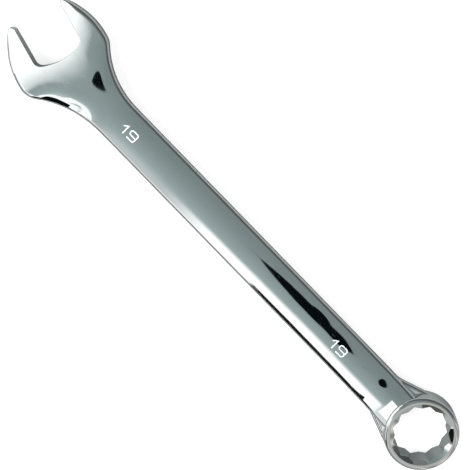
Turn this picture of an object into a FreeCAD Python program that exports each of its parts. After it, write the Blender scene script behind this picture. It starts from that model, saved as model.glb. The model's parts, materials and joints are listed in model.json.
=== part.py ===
import FreeCAD, Part
import math
import os
import Sketcher
from FreeCAD import Placement, Rotation, Vector

# Combination wrench, 19 mm: one drop-forged, plated piece with an open jaw at
# one end and a 12-point ring at the other. Sizes are millimetres and degrees.
# The ring's centre is the origin, +X runs out of the ring's end away from the
# jaw, +Z leaves the numbered face. "Near" is the short jaw's side, +Y, and
# "far" is the long jaw's.

os.makedirs("parts", exist_ok=True)
doc = FreeCAD.newDocument("CombinationWrench")

# ---------------------------------------------------------------- sizes
SIZES = [
    # open end
    ("jaw_gap", 19.3, "between the two jaw faces"),
    ("jaw_centre_back", 201.9, "nut centre in the jaw, behind the ring centre"),
    ("jaw_centre_side", 4.1, "nut centre in the jaw, beside the shank axis"),
    ("jaw_angle", 15.0, "jaw turned from the shank axis, degrees"),
    ("jaw_reach", 8.3, "nut centre to the jaw tips"),
    ("throat_depth", 11.6, "nut centre to the back of the throat"),
    ("throat_radius", 20.0, "back of the throat"),
    ("throat_corner", 3.0, "throat corner radius"),
    ("tip_radius", 2.0, "jaw tip radius"),
    ("tip_slant", 24.0, "jaw tips swept back, degrees"),
    ("head_thickness", 8.0, "open end, face to face"),
    ("head_flat", 3.0, "the head stays flat this far behind the throat"),
    ("flank_radius", 30.0, "outer flank of each jaw"),
    ("flank_shift_far", 10.8, "flank arc centre across the jaw axis, long jaw"),
    ("flank_shift_near", 11.5, "flank arc centre across the jaw axis, short jaw"),
    ("shoulder_radius", 8.5, "back corner of the head"),
    ("shoulder_back_far", 1.5, "shoulder centre behind the throat, long jaw"),
    ("shoulder_back_near", 0.4, "shoulder centre behind the throat, short jaw"),
    ("neck_radius_far", 42.0, "shank to the long jaw"),
    ("neck_radius_near", 34.0, "shank to the short jaw"),
    ("jaw_break", 0.3, "chamfer on the jaw edges"),
    # shank
    ("shank_width", 16.1, "across the shank"),
    ("shank_thickness", 7.0, "at the crown"),
    ("shank_edge", 4.3, "at the flanks, before rounding"),
    ("rim_round", 1.6, "rounding of head and shank rims"),
    ("blank_margin", 1.45, "blank wider than the shank, each side"),
    # ring
    ("ring_flats", 19.25, "across the flats of the socket"),
    ("ring_outer", 14.1, "outer radius of the ring"),
    ("ring_height", 12.0, "ring, face to face"),
    ("ring_tilt", 15.0, "ring face turned down, degrees"),
    ("ring_round", 1.6, "outer rounding of the ring"),
    ("lead_radius", 11.9, "lead-in at the ring face"),
    ("lead_depth", 1.35, "depth of the lead-in"),
    ("web_angle", 19.5, "webs splay from the shank, degrees"),
    ("web_sink", 0.5, "webs start this far inside the flanks"),
    ("web_radius", 24.0, "hollow where the webs leave the shank"),
    ("web_thickness", 4.4, "webs beside the neck"),
    ("web_round", 1.4, "rounding of the web rims"),
    # size numbers
    ("mark_height", 3.9, "height of the numbers"),
    ("mark_width", 3.8, "width of the nine"),
    ("mark_stroke", 0.5, "stroke of the numbers"),
    ("mark_flag", 1.5, "reach of the one's flag"),
    ("mark_drop", 1.4, "drop of the one's flag"),
    ("mark_pitch", 3.4, "from the one to the nine"),
    ("mark_waist", 1.638, "underside of the nine's loop, above its foot"),
    ("mark_depth", 0.25, "depth below the crown"),
    ("mark_from_jaw", 44.5, "first numbers, from the nut centre in the jaw"),
    ("mark_from_ring", 46.6, "second numbers, from the ring centre"),
]
sheet = doc.addObject("Spreadsheet::Sheet", "Sizes")
V = {}
for row, (alias, value, note) in enumerate(SIZES, start=1):
    sheet.set("A%d" % row, alias)
    sheet.set("B%d" % row, "%g" % value)
    sheet.set("C%d" % row, note)
    sheet.setAlias("B%d" % row, alias)
    V[alias] = value
doc.recompute()

# How far a cutter or a blank runs past the metal that it has to cover.
PAST = 40.0
BLANK_HALF = 30.0
OUTLINE_END = -9.0   # the shank's outline stops here, inside the ring
JAW_RUN_OUT = 6.0    # the outline runs this far past the jaw tips
UP = Vector(0, 0, 1)

body = doc.addObject("PartDesign::Body", "WrenchBody")
body.Label = "wrench_body"
web_body = doc.addObject("PartDesign::Body", "WebBody")
web_body.Label = "web_plate"


# ---------------------------------------------------------------- helpers
def cells(text):
    """An expression whose {alias} words are cells of the sheet."""
    for alias in V:
        text = text.replace("{%s}" % alias, "Sizes." + alias)
    return text


def origin_plane(role, host):
    for item in host.Origin.OriginFeatures:
        if item.Role == role:
            return item
    raise RuntimeError("no origin plane " + role)


def new_sketch(name, role, offset=None, bind=(), host=body):
    sk = host.newObject("Sketcher::SketchObject", name)
    sk.AttachmentSupport = (origin_plane(role, host), [""])
    sk.MapMode = "FlatFace"
    if offset is not None:
        sk.AttachmentOffset = offset
    for path, expression in bind:
        sk.setExpression("AttachmentOffset." + path, cells(expression))
    return sk


def line(sk, a, b):
    return sk.addGeometry(Part.LineSegment(Vector(a[0], a[1], 0), Vector(b[0], b[1], 0)), False)


def angle_of(c, q):
    return math.degrees(math.atan2(q[1] - c[1], q[0] - c[0]))


def arc(sk, c, r, start, stop, way):
    """Arc about c from start to stop, anticlockwise when way is positive.
    Returns its number, then its vertex at the start and at the stop."""
    a, b = angle_of(c, start), angle_of(c, stop)
    if way < 0:
        a, b = b, a
    a %= 360
    b = a + (b - a) % 360
    circle = Part.Circle(Vector(c[0], c[1], 0), UP, r)
    geo = sk.addGeometry(Part.ArcOfCircle(circle, math.radians(a), math.radians(b)), False)
    return (geo, 1, 2) if way > 0 else (geo, 2, 1)


def add(sk, *args):
    return sk.addConstraint(Sketcher.Constraint(*args))


def bound(sk, expression, *args):
    """A sized constraint, driven by the sheet."""
    index = add(sk, *args)
    sk.setExpression("Constraints[%d]" % index, cells(expression))


def radius(sk, geo, value, expression):
    bound(sk, expression, "Radius", geo, value)


def at_x(sk, geo, pos, value, expression):
    """Signed distance of a point from the sketch's vertical axis."""
    if value >= 0:
        bound(sk, expression, "DistanceX", -1, 1, geo, pos, value)
    else:
        bound(sk, "-(%s)" % expression, "DistanceX", geo, pos, -1, 1, -value)


def at_y(sk, geo, pos, value, expression):
    """Signed distance of a point from the sketch's horizontal axis."""
    if value >= 0:
        bound(sk, expression, "DistanceY", -1, 1, geo, pos, value)
    else:
        bound(sk, "-(%s)" % expression, "DistanceY", geo, pos, -1, 1, -value)


def loop(sk, points):
    """Closed run of lines; returns their numbers."""
    n = len(points)
    ids = [line(sk, points[k], points[(k + 1) % n]) for k in range(n)]
    for k in range(n):
        add(sk, "Coincident", ids[k], 2, ids[(k + 1) % n], 1)
    return ids


def rectangle(sk, x0, y0, x1, y1):
    ids = loop(sk, [(x0, y0), (x1, y0), (x1, y1), (x0, y1)])
    for k in (0, 2):
        add(sk, "Horizontal", ids[k])
        add(sk, "Vertical", ids[k + 1])
    return ids


def placed_loop(sk, points):
    """points: (x, y, x expression, y expression); None where it is zero."""
    ids = loop(sk, points)
    for geo, (x, y, ex, ey) in zip(ids, points):
        if ex is None:
            add(sk, "PointOnObject", geo, 1, -2)
        else:
            at_x(sk, geo, 1, x, ex)
        if ey is None:
            add(sk, "PointOnObject", geo, 1, -1)
        else:
            at_y(sk, geo, 1, y, ey)


def solved(sk):
    """The sketch, once it solves with nothing left free."""
    doc.recompute()
    if sk.solve() != 0 or not sk.FullyConstrained:
        raise RuntimeError("%s isn't fully constrained" % sk.Name)
    return sk


def done(feature):
    """The feature, once it has been computed without an error."""
    doc.recompute()
    state = [str(word) for word in feature.State]
    if "Invalid" in state or "Error" in state:
        raise RuntimeError("%s failed: %s" % (feature.Name, feature.getStatusString()))
    return feature


def must_cut(feature, before):
    """The feature, once it has taken something off the volume before it."""
    done(feature)
    if not feature.Shape.Volume < before - 1e-3:
        raise RuntimeError("%s removed nothing" % feature.Name)
    return feature


def pocket(name, sk, length, expression=None):
    """Cut both ways by a plain length, or down by a bound one."""
    before = body.Shape.Volume
    feature = body.newObject("PartDesign::Pocket", name)
    feature.Profile = sk
    feature.Length = length
    if expression:
        feature.setExpression("Length", cells(expression))
    else:
        feature.SideType = "Symmetric"
    return must_cut(feature, before)


def dressed(host, kind, name, base, edges, size, value, expression):
    """A fillet or a chamfer whose size is bound to the sheet."""
    feature = host.newObject(kind, name)
    feature.Base = (base, edges)
    setattr(feature, size, value)
    feature.setExpression(size, cells(expression))
    return done(feature)


def edges_where(shape, wanted):
    """Names of the edges for which wanted(edge, faces) holds."""
    names = []
    for number, edge in enumerate(shape.Edges, start=1):
        faces = shape.ancestorsOfType(edge, Part.Face)
        if len(faces) == 2 and wanted(edge, faces):
            names.append("Edge%d" % number)
    return names


def middle(edge):
    return edge.valueAt((edge.FirstParameter + edge.LastParameter) / 2)


def is_wall(face):
    """A face that stands along Z."""
    u0, u1, v0, v1 = face.ParameterRange
    normals = [face.normalAt(u0 + (u1 - u0) * a, v0 + (v1 - v0) * b)
               for a in (0.2, 0.8) for b in (0.2, 0.8)]
    return all(abs(n.z) < 1e-4 for n in normals)


def is_rim(faces):
    """The edge between two such faces turns from a side to the top or bottom."""
    return is_wall(faces[0]) != is_wall(faces[1])


# ---------------------------------------------------------------- blank
# The forging's thickness: a flat block at the head, then a loft whose crown
# grows along the shank and climbs to the ring.
HEAD_END = "{jaw_centre_back} - {throat_depth} - {head_flat}"
head_end = V["jaw_centre_back"] - V["throat_depth"] - V["head_flat"]

sk = new_sketch("HeadBlockSketch", "YZ_Plane",
                Placement(Vector(0, 0, -head_end - PAST), Rotation()),
                [("Base.z", "-(%s + %g)" % (HEAD_END, PAST))])
head_half = V["head_thickness"] / 2
ids = rectangle(sk, -BLANK_HALF, -head_half, BLANK_HALF, head_half)
add(sk, "Symmetric", ids[0], 1, ids[1], 2, -1, 1)
bound(sk, "{head_thickness}", "DistanceY", ids[1], 1, ids[1], 2, 2 * head_half)
add(sk, "DistanceX", ids[0], 1, ids[0], 2, 2 * BLANK_HALF)
block = body.newObject("PartDesign::Pad", "HeadBlock")
block.Profile = solved(sk)
block.Length = PAST
done(block)

# Half thicknesses along the shank, each as (value, expression).
HEAD = (V["head_thickness"] / 2, "{head_thickness} / 2")
CROWN = (V["shank_thickness"] / 2, "{shank_thickness} / 2")
EDGE = (V["shank_edge"] / 2, "{shank_edge} / 2")
CLIMB = (V["ring_height"] / 2 - CROWN[0], "({ring_height} - {shank_thickness}) / 2")
BLANK = (V["shank_width"] / 2 + V["blank_margin"], "({shank_width} / 2 + {blank_margin})")


def blend(a, b, share):
    """Between two sizes, by a share."""
    return a[0] * (1 - share) + b[0] * share, "(%s) * %g + (%s) * %g" % (a[1], 1 - share, b[1], share)


def climbed(a, share):
    """A size raised by a share of the climb from the shank to the ring."""
    return a[0] + CLIMB[0] * share, "%s + %s * %g" % (a[1], CLIMB[1], share)


def wider(margin):
    """Half width of the blank, past the shank's own."""
    return BLANK[0] + margin, "(%s + %g)" % (BLANK[1], margin)


def station(name, at, at_expression, top, bottom, top_edge, bottom_edge, half):
    """A section of the blank: upright sides, and a crowned top and bottom."""
    sk = new_sketch("Station" + name, "YZ_Plane", Placement(Vector(0, 0, -at), Rotation()),
                    [("Base.z", "-(%s)" % at_expression)])
    w, kt, kb = half[0], top_edge[0], bottom_edge[0]
    right = line(sk, (w, -kb), (w, kt))
    left = line(sk, (-w, kt), (-w, -kb))
    flat = abs(top[0] - kt) < 1e-6
    if flat:
        over, under = line(sk, (w, kt), (-w, kt)), line(sk, (-w, -kb), (w, -kb))
        ends = [(right, 2, over, 1), (over, 2, left, 1), (left, 2, under, 1), (under, 2, right, 1)]
    else:
        radii = []
        for z, k in ((top, top_edge), (bottom, bottom_edge)):
            sag = z[0] - k[0]
            text = "(%s^2 + (%s - (%s))^2) / (2 * (%s - (%s)))" % (half[1], z[1], k[1], z[1], k[1])
            radii.append(((w * w + sag * sag) / (2 * sag), text))
        over = arc(sk, (0, top[0] - radii[0][0]), radii[0][0], (w, kt), (-w, kt), 1)[0]
        under = arc(sk, (0, radii[1][0] - bottom[0]), radii[1][0], (-w, -kb), (w, -kb), 1)[0]
        ends = [(right, 2, over, 1), (over, 2, left, 1), (left, 2, under, 1), (under, 2, right, 1)]
        for geo, (value, text) in zip((over, under), radii):
            add(sk, "PointOnObject", geo, 3, -2)
            radius(sk, geo, value, text)
    for pair in ends:
        add(sk, "Coincident", *pair)
    add(sk, "Vertical", right)
    add(sk, "Vertical", left)
    at_x(sk, right, 1, w, half[1])
    at_x(sk, left, 1, -w, "-" + half[1])
    at_y(sk, right, 2, kt, top_edge[1])
    at_y(sk, right, 1, -kb, "-(%s)" % bottom_edge[1])
    if flat:
        add(sk, "Horizontal", over)
        add(sk, "Horizontal", under)
    return solved(sk)


# Neck: name, distance from the head's flat, share of the way from the head's
# thickness to the shank's at the crown and at the edge, and extra half width.
NECK = [
    ("Neck1", 7.3, 0.10, 0.16, 14.5),
    ("Neck2", 19.3, 0.42, 0.66, 3.5),
    ("Neck3", 33.3, 0.80, 0.95, 0.5),
    ("Shank1", 57.3, 1.0, 1.0, 0.0),
]
# Towards the ring: name, distance behind the ring centre, and the share of
# the climb at the crown top, crown bottom, edge top and edge bottom.
RAMP = [
    ("Shank2", 90.0, 0.0, 0.0, 0.0, 0.0),
    ("Shank3", 52.0, 0.0, 0.0, 0.0, 0.0),
    ("Ramp1", 34.0, 0.10, 0.0, 0.08, 0.0),
    ("Ramp2", 23.0, 0.62, -0.04, 0.52, 0.04),
    ("Ramp3", 15.5, 1.44, -0.14, 1.28, 0.04),
    ("Ramp4", 10.0, 1.88, -0.24, 1.72, 0.04),
]
block_half = (BLANK_HALF, "%g" % BLANK_HALF)
sections = [station("HeadEnd", head_end, HEAD_END, HEAD, HEAD, HEAD, HEAD, block_half)]
for name, ahead, crown, edge, extra in NECK:
    at_crown, at_edge = blend(HEAD, CROWN, crown), blend(HEAD, EDGE, edge)
    sections.append(station(name, head_end - ahead, "%s - %g" % (HEAD_END, ahead),
                            at_crown, at_crown, at_edge, at_edge, wider(extra)))
for name, back, top, bottom, top_edge, bottom_edge in RAMP:
    sections.append(station(name, back, "%g" % back, climbed(CROWN, top), climbed(CROWN, bottom),
                            climbed(EDGE, top_edge), climbed(EDGE, bottom_edge), BLANK))

loft = body.newObject("PartDesign::AdditiveLoft", "ShankLoft")
loft.Profile = sections[0]
loft.Sections = sections[1:]
loft.Ruled = False
done(loft)

# ---------------------------------------------------------------- outline
# Everything outside the wrench's outline is cut away from the blank.
turn = math.radians(V["jaw_angle"])
jx, jy = -V["jaw_centre_back"], V["jaw_centre_side"]
ux, uy = math.cos(turn), -math.sin(turn)
JX = "-{jaw_centre_back} + (%s) * cos({jaw_angle}) + (%s) * sin({jaw_angle})"
JY = "{jaw_centre_side} - (%s) * sin({jaw_angle}) + (%s) * cos({jaw_angle})"


def jaw_point(along, across):
    """A point of the jaw's own axes, in the wrench's."""
    return (jx + along * ux - across * uy, jy + along * uy + across * ux)


def outline_side(sk, side, tag):
    """Shank edge, neck, shoulder and jaw flank on one side, end to end.
    Returns the shank edge, and the flank's free end with its place."""
    r1, r2, r3 = V["neck_radius_" + tag], V["shoulder_radius"], V["flank_radius"]
    depth, back, half = V["throat_depth"], V["shoulder_back_" + tag], V["shank_width"] / 2
    shift = -side * V["flank_shift_" + tag]
    sign = "-" if side > 0 else ""
    e_shift = "%s{flank_shift_%s}" % (sign, tag)
    e_across = "%s %s sqrt(({flank_radius} - {shoulder_radius})^2 - {shoulder_back_%s}^2)" % (
        e_shift, "+" if side > 0 else "-", tag)
    c3 = jaw_point(depth, shift)
    c2 = jaw_point(depth + back, shift + side * math.sqrt((r3 - r2) ** 2 - back ** 2))
    c1y = side * (half + r1)
    c1 = (c2[0] + math.sqrt((r1 + r2) ** 2 - (c1y - c2[1]) ** 2), c1y)
    share, stretch = r2 / (r1 + r2), r3 / (r3 - r2)
    low = (c1[0], side * half)
    mid = (c2[0] + (c1[0] - c2[0]) * share, c2[1] + (c1[1] - c2[1]) * share)
    high = (c3[0] + (c2[0] - c3[0]) * stretch, c3[1] + (c2[1] - c3[1]) * stretch)
    tip_x = jaw_point(-V["jaw_reach"] - JAW_RUN_OUT, 0)[0]
    tip = (tip_x, c3[1] + side * math.sqrt(r3 ** 2 - (tip_x - c3[0]) ** 2))

    edge = line(sk, (OUTLINE_END, side * half), low)
    neck, n0, n1 = arc(sk, c1, r1, low, mid, -side)
    shoulder, s0, s1 = arc(sk, c2, r2, mid, high, side)
    flank, f0, f1 = arc(sk, c3, r3, high, tip, side)
    add(sk, "Tangent", edge, 2, neck, n0)
    add(sk, "Tangent", neck, n1, shoulder, s0)
    add(sk, "Tangent", shoulder, s1, flank, f0)
    add(sk, "Horizontal", edge)
    at_y(sk, edge, 1, side * half, ("" if side > 0 else "-") + "{shank_width} / 2")
    radius(sk, neck, r1, "{neck_radius_%s}" % tag)
    radius(sk, shoulder, r2, "{shoulder_radius}")
    radius(sk, flank, r3, "{flank_radius}")
    at_x(sk, flank, 3, c3[0], JX % ("{throat_depth}", e_shift))
    at_y(sk, flank, 3, c3[1], JY % ("{throat_depth}", e_shift))
    at_x(sk, shoulder, 3, c2[0], JX % ("{throat_depth} + {shoulder_back_%s}" % tag, e_across))
    add(sk, "DistanceX", edge, 1, -1, 1, -OUTLINE_END)
    return edge, flank, f1, tip


sk = new_sketch("OutlineSketch", "XY_Plane")
near_edge, near_flank, near_end, near_tip = outline_side(sk, 1, "near")
far_edge, far_flank, far_end, far_tip = outline_side(sk, -1, "far")
nose = line(sk, near_tip, far_tip)
add(sk, "Coincident", near_flank, near_end, nose, 1)
add(sk, "Coincident", far_flank, far_end, nose, 2)
add(sk, "Vertical", nose)
at_x(sk, nose, 1, near_tip[0], JX % ("-{jaw_reach} - %g" % JAW_RUN_OUT, "0"))
half_width = V["shank_width"] / 2
tail = line(sk, (OUTLINE_END, -half_width), (OUTLINE_END, half_width))
add(sk, "Coincident", far_edge, 1, tail, 1)
add(sk, "Coincident", near_edge, 1, tail, 2)
long = V["jaw_centre_back"] + 2 * PAST
frame = rectangle(sk, -long, -2 * BLANK_HALF, -OUTLINE_END, 2 * BLANK_HALF)
bound(sk, "{jaw_centre_back} + %g" % (2 * PAST), "DistanceX", frame[0], 1, -1, 1, long)
add(sk, "DistanceX", -1, 1, frame[1], 1, -OUTLINE_END)
add(sk, "DistanceY", frame[0], 1, -1, 1, 2 * BLANK_HALF)
add(sk, "DistanceY", -1, 1, frame[2], 1, 2 * BLANK_HALF)
trim = pocket("OutlineCut", solved(sk), PAST)

# The rims of head and shank, but for the run-outs at both ends.
rims = edges_where(trim.Shape, lambda edge, faces: is_rim(faces)
                   and near_tip[0] + 0.5 < middle(edge).x < OUTLINE_END - 0.5)
RIM_SHARE = 0.4      # a rounding takes at most this share of the flank's height
rounded = dressed(body, "PartDesign::Fillet", "RimRound", trim, rims, "Radius",
                  min(V["rim_round"], RIM_SHARE * V["shank_edge"]),
                  "min({rim_round}; %g * {shank_edge})" % RIM_SHARE)

# ---------------------------------------------------------------- ring end
# Webs: a thinner plate. Each side leaves the shank's flank in a hollow, then
# runs straight on to touch the ring's outer circle. It is rounded on its own,
# then joined.
web_r, ring_r = V["web_radius"], V["ring_outer"]
web_y = half_width - V["web_sink"]
splay = math.radians(V["web_angle"])
web_x = (math.cos(splay) * (web_y + web_r) - ring_r - web_r) / math.sin(splay)
bend = (web_x + web_r * math.sin(splay), web_y + web_r - web_r * math.cos(splay))
touch = (-ring_r * math.sin(splay), ring_r * math.cos(splay))
HOLLOW_Y = "{shank_width} / 2 - {web_sink} + {web_radius}"
HOLLOW_X = "(cos({web_angle}) * (%s) - {ring_outer} - {web_radius}) / sin({web_angle})" % HOLLOW_Y

sk = new_sketch("WebSketch", "XY_Plane", host=web_body)
root = line(sk, (web_x, web_y), (web_x, -web_y))
cross = line(sk, (touch[0], -touch[1]), touch)
for side in (1, -1):
    sign = "" if side > 0 else "-"
    centre = (web_x, side * (web_y + web_r))
    hollow, start, stop = arc(sk, centre, web_r, (web_x, side * web_y), (bend[0], side * bend[1]), side)
    flare = line(sk, (bend[0], side * bend[1]), (touch[0], side * touch[1]))
    add(sk, "Tangent", hollow, stop, flare, 1)
    add(sk, "Vertical", hollow, 3, hollow, start)
    radius(sk, hollow, web_r, "{web_radius}")
    at_x(sk, hollow, 3, web_x, HOLLOW_X)
    at_y(sk, hollow, 3, centre[1], "%s(%s)" % (sign, HOLLOW_Y))
    at_x(sk, flare, 2, touch[0], "-{ring_outer} * sin({web_angle})")
    at_y(sk, flare, 2, side * touch[1], "%s{ring_outer} * cos({web_angle})" % sign)
    add(sk, "Coincident", hollow, start, root, 1 if side > 0 else 2)
    add(sk, "Coincident", flare, 2, cross, 2 if side > 0 else 1)
webs = web_body.newObject("PartDesign::Pad", "Webs")
webs.Profile = solved(sk)
webs.Length = V["web_thickness"]
webs.setExpression("Length", cells("{web_thickness}"))
webs.SideType = "Symmetric"
done(webs)
web_rims = edges_where(webs.Shape, lambda edge, faces: is_rim(faces) and abs(middle(edge).y) > 1)
dressed(web_body, "PartDesign::Fillet", "WebRound", webs, web_rims, "Radius",
        V["web_round"], "{web_round}")
join = body.newObject("PartDesign::Boolean", "WebsJoin")
join.setObjects([web_body])
join.Type = "Fuse"
done(join)


def tilted(name, role):
    """A sketch in the ring's own plane, or upright through its axis, which
    leans towards +X by the tilt."""
    about = {"XY_Plane": Vector(0, 1, 0), "XZ_Plane": Vector(0, 0, -1)}[role]
    return new_sketch(name, role, Placement(Vector(0, 0, 0), Rotation(about, V["ring_tilt"])),
                      [("Rotation.Angle", "{ring_tilt}")])


def turned(kind, name, sk):
    """The sketch turned right round the ring's axis."""
    feature = body.newObject(kind, name)
    feature.Profile = solved(sk)
    feature.ReferenceAxis = (sk, ["V_Axis"])
    feature.Angle = 360
    return feature


rh, rr = V["ring_height"] / 2, V["ring_round"]
sk = tilted("RingSketch", "XZ_Plane")
bottom = line(sk, (0, -rh), (ring_r - rr, -rh))
low, l0, l1 = arc(sk, (ring_r - rr, -rh + rr), rr, (ring_r - rr, -rh), (ring_r, -rh + rr), 1)
wall = line(sk, (ring_r, -rh + rr), (ring_r, rh - rr))
high, h0, h1 = arc(sk, (ring_r - rr, rh - rr), rr, (ring_r, rh - rr), (ring_r - rr, rh), 1)
top = line(sk, (ring_r - rr, rh), (0, rh))
axis = line(sk, (0, rh), (0, -rh))
for pair in [(bottom, 2, low, l0), (low, l1, wall, 1), (wall, 2, high, h0), (high, h1, top, 1)]:
    add(sk, "Tangent", *pair)
add(sk, "Coincident", top, 2, axis, 1)
add(sk, "Coincident", axis, 2, bottom, 1)
add(sk, "Vertical", wall)
add(sk, "Horizontal", top)
add(sk, "Horizontal", bottom)
add(sk, "PointOnObject", axis, 1, -2)
add(sk, "PointOnObject", axis, 2, -2)
radius(sk, low, rr, "{ring_round}")
radius(sk, high, rr, "{ring_round}")
at_x(sk, wall, 1, ring_r, "{ring_outer}")
at_y(sk, axis, 1, rh, "{ring_height} / 2")
at_y(sk, axis, 2, -rh, "-{ring_height} / 2")
done(turned("PartDesign::Revolution", "Ring", sk))

# Socket: two hexagons, thirty degrees apart.
flats = V["ring_flats"]
corner = flats / math.sqrt(3)
sk = tilted("SocketSketch", "XY_Plane")
around = [math.radians(60 * k) for k in range(6)]
ids = loop(sk, [(corner * math.cos(a), corner * math.sin(a)) for a in around])
circle = sk.addGeometry(Part.Circle(Vector(0, 0, 0), UP, corner), True)
for geo in ids:
    add(sk, "PointOnObject", geo, 1, circle)
for k in range(5):
    add(sk, "Equal", ids[k], ids[k + 1])
add(sk, "Coincident", circle, 3, -1, 1)
add(sk, "PointOnObject", ids[0], 1, -1)
radius(sk, circle, corner, "{ring_flats} / sqrt(3)")
hexagon = pocket("SocketHexagon", solved(sk), PAST)
points = body.newObject("PartDesign::PolarPattern", "SocketTwelvePoint")
points.Originals = [hexagon]
points.Axis = (sk, ["N_Axis"])
points.Angle = 30
points.Occurrences = 2
body.Tip = points
must_cut(points, hexagon.Shape.Volume)

# Lead-in: a cone at each face, from the socket's flats out to its own radius.
LEAD_OVERLAP = 0.1   # the cone starts this far inside the flats
LEAD_INSIDE = 2.0    # and its cutter reaches this far inside them
depth = V["lead_depth"]
sk = tilted("LeadInSketch", "XZ_Plane")
for side, sign in ((1, ""), (-1, "-")):
    face = (side * rh, "%s({ring_height} / 2)" % sign)
    floor = (side * (rh - depth), "%s({ring_height} / 2 - {lead_depth})" % sign)
    inside = (flats / 2 - LEAD_INSIDE, "{ring_flats} / 2 - %g" % LEAD_INSIDE)
    foot = (flats / 2 - LEAD_OVERLAP, "{ring_flats} / 2 - %g" % LEAD_OVERLAP)
    mouth = (V["lead_radius"], "{lead_radius}")
    corners = [(inside, face), (mouth, face), (foot, floor), (inside, floor)]
    placed_loop(sk, [(x[0], y[0], x[1], y[1]) for x, y in corners])
before = body.Shape.Volume
must_cut(turned("PartDesign::Groove", "LeadIn", sk), before)

# ---------------------------------------------------------------- jaw
gap, tr, tc = V["jaw_gap"] / 2, V["throat_radius"], V["throat_corner"]
reach, tp, slant = V["jaw_reach"], V["tip_radius"], math.radians(V["tip_slant"])
throat_x = V["throat_depth"] - tr
corner_x = throat_x + math.sqrt((tr - tc) ** 2 - (gap - tc) ** 2)
stretch = tr / (tr - tc)
meet = (throat_x + (corner_x - throat_x) * stretch, (gap - tc) * stretch)
tip_x = tp - reach
end = (tip_x - tp * math.cos(slant), gap + tp + tp * math.sin(slant))
far_x = end[0] + (PAST - end[1]) * math.tan(slant)

sk = new_sketch("JawSketch", "XY_Plane",
                Placement(Vector(jx, jy, 0), Rotation(Vector(0, 0, -1), V["jaw_angle"])),
                [("Base.x", "-{jaw_centre_back}"), ("Base.y", "{jaw_centre_side}"),
                 ("Rotation.Angle", "{jaw_angle}")])
throat, t0, t1 = arc(sk, (throat_x, 0), tr, (meet[0], -meet[1]), meet, 1)
away = [line(sk, (far_x, PAST), (-PAST, PAST)), line(sk, (-PAST, PAST), (-PAST, -PAST)),
        line(sk, (-PAST, -PAST), (far_x, -PAST))]
for side, sign, throat_end in ((1, "", t1), (-1, "-", t0)):
    c = (corner_x, side * (gap - tc))
    bend_in, b0, b1 = arc(sk, c, tc, (meet[0], side * meet[1]), (corner_x, side * gap), side)
    face = line(sk, (corner_x, side * gap), (tip_x, side * gap))
    c = (tip_x, side * (gap + tp))
    tip, p0, p1 = arc(sk, c, tp, (tip_x, side * gap), (end[0], side * end[1]), -side)
    front = line(sk, (end[0], side * end[1]), (far_x, side * PAST))
    for pair in [(throat, throat_end, bend_in, b0), (bend_in, b1, face, 1), (face, 2, tip, p0),
                 (tip, p1, front, 1)]:
        add(sk, "Tangent", *pair)
    add(sk, "Horizontal", face)
    bound(sk, "%s(90 - {tip_slant})" % sign, "Angle", -1, 1, front, 1, side * (math.pi / 2 - slant))
    radius(sk, bend_in, tc, "{throat_corner}")
    radius(sk, tip, tp, "{tip_radius}")
    at_y(sk, face, 1, side * gap, "%s{jaw_gap} / 2" % sign)
    at_x(sk, tip, 3, tip_x, "{tip_radius} - {jaw_reach}")
    add(sk, "Coincident", front, 2, away[0] if side > 0 else away[2], 1 if side > 0 else 2)
add(sk, "Coincident", away[0], 2, away[1], 1)
add(sk, "Coincident", away[1], 2, away[2], 1)
add(sk, "Horizontal", away[0])
add(sk, "Horizontal", away[2])
add(sk, "Vertical", away[1])
add(sk, "DistanceX", away[0], 2, -1, 1, PAST)
add(sk, "DistanceY", -1, 1, away[0], 1, PAST)
add(sk, "DistanceY", away[2], 1, -1, 1, PAST)
add(sk, "PointOnObject", throat, 3, -1)
radius(sk, throat, tr, "{throat_radius}")
at_x(sk, throat, 3, throat_x, "{throat_depth} - {throat_radius}")
jaw = pocket("Jaw", solved(sk), PAST)


def jaw_edge(edge, faces):
    """An edge between a jaw or throat face and the head's top or bottom."""
    m = middle(edge)
    dx, dy = m.x - jx, m.y - jy
    along, across = dx * ux + dy * uy, dx * -uy + dy * ux
    return (is_rim(faces) and abs(abs(m.z) - head_half) < 1e-6
            and 0.2 - reach < along < V["throat_depth"] + 0.2 and abs(across) < gap + 0.1)


dressed(body, "PartDesign::Chamfer", "JawBreak", jaw, edges_where(jaw.Shape, jaw_edge), "Size",
        V["jaw_break"], "{jaw_break}")


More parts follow.
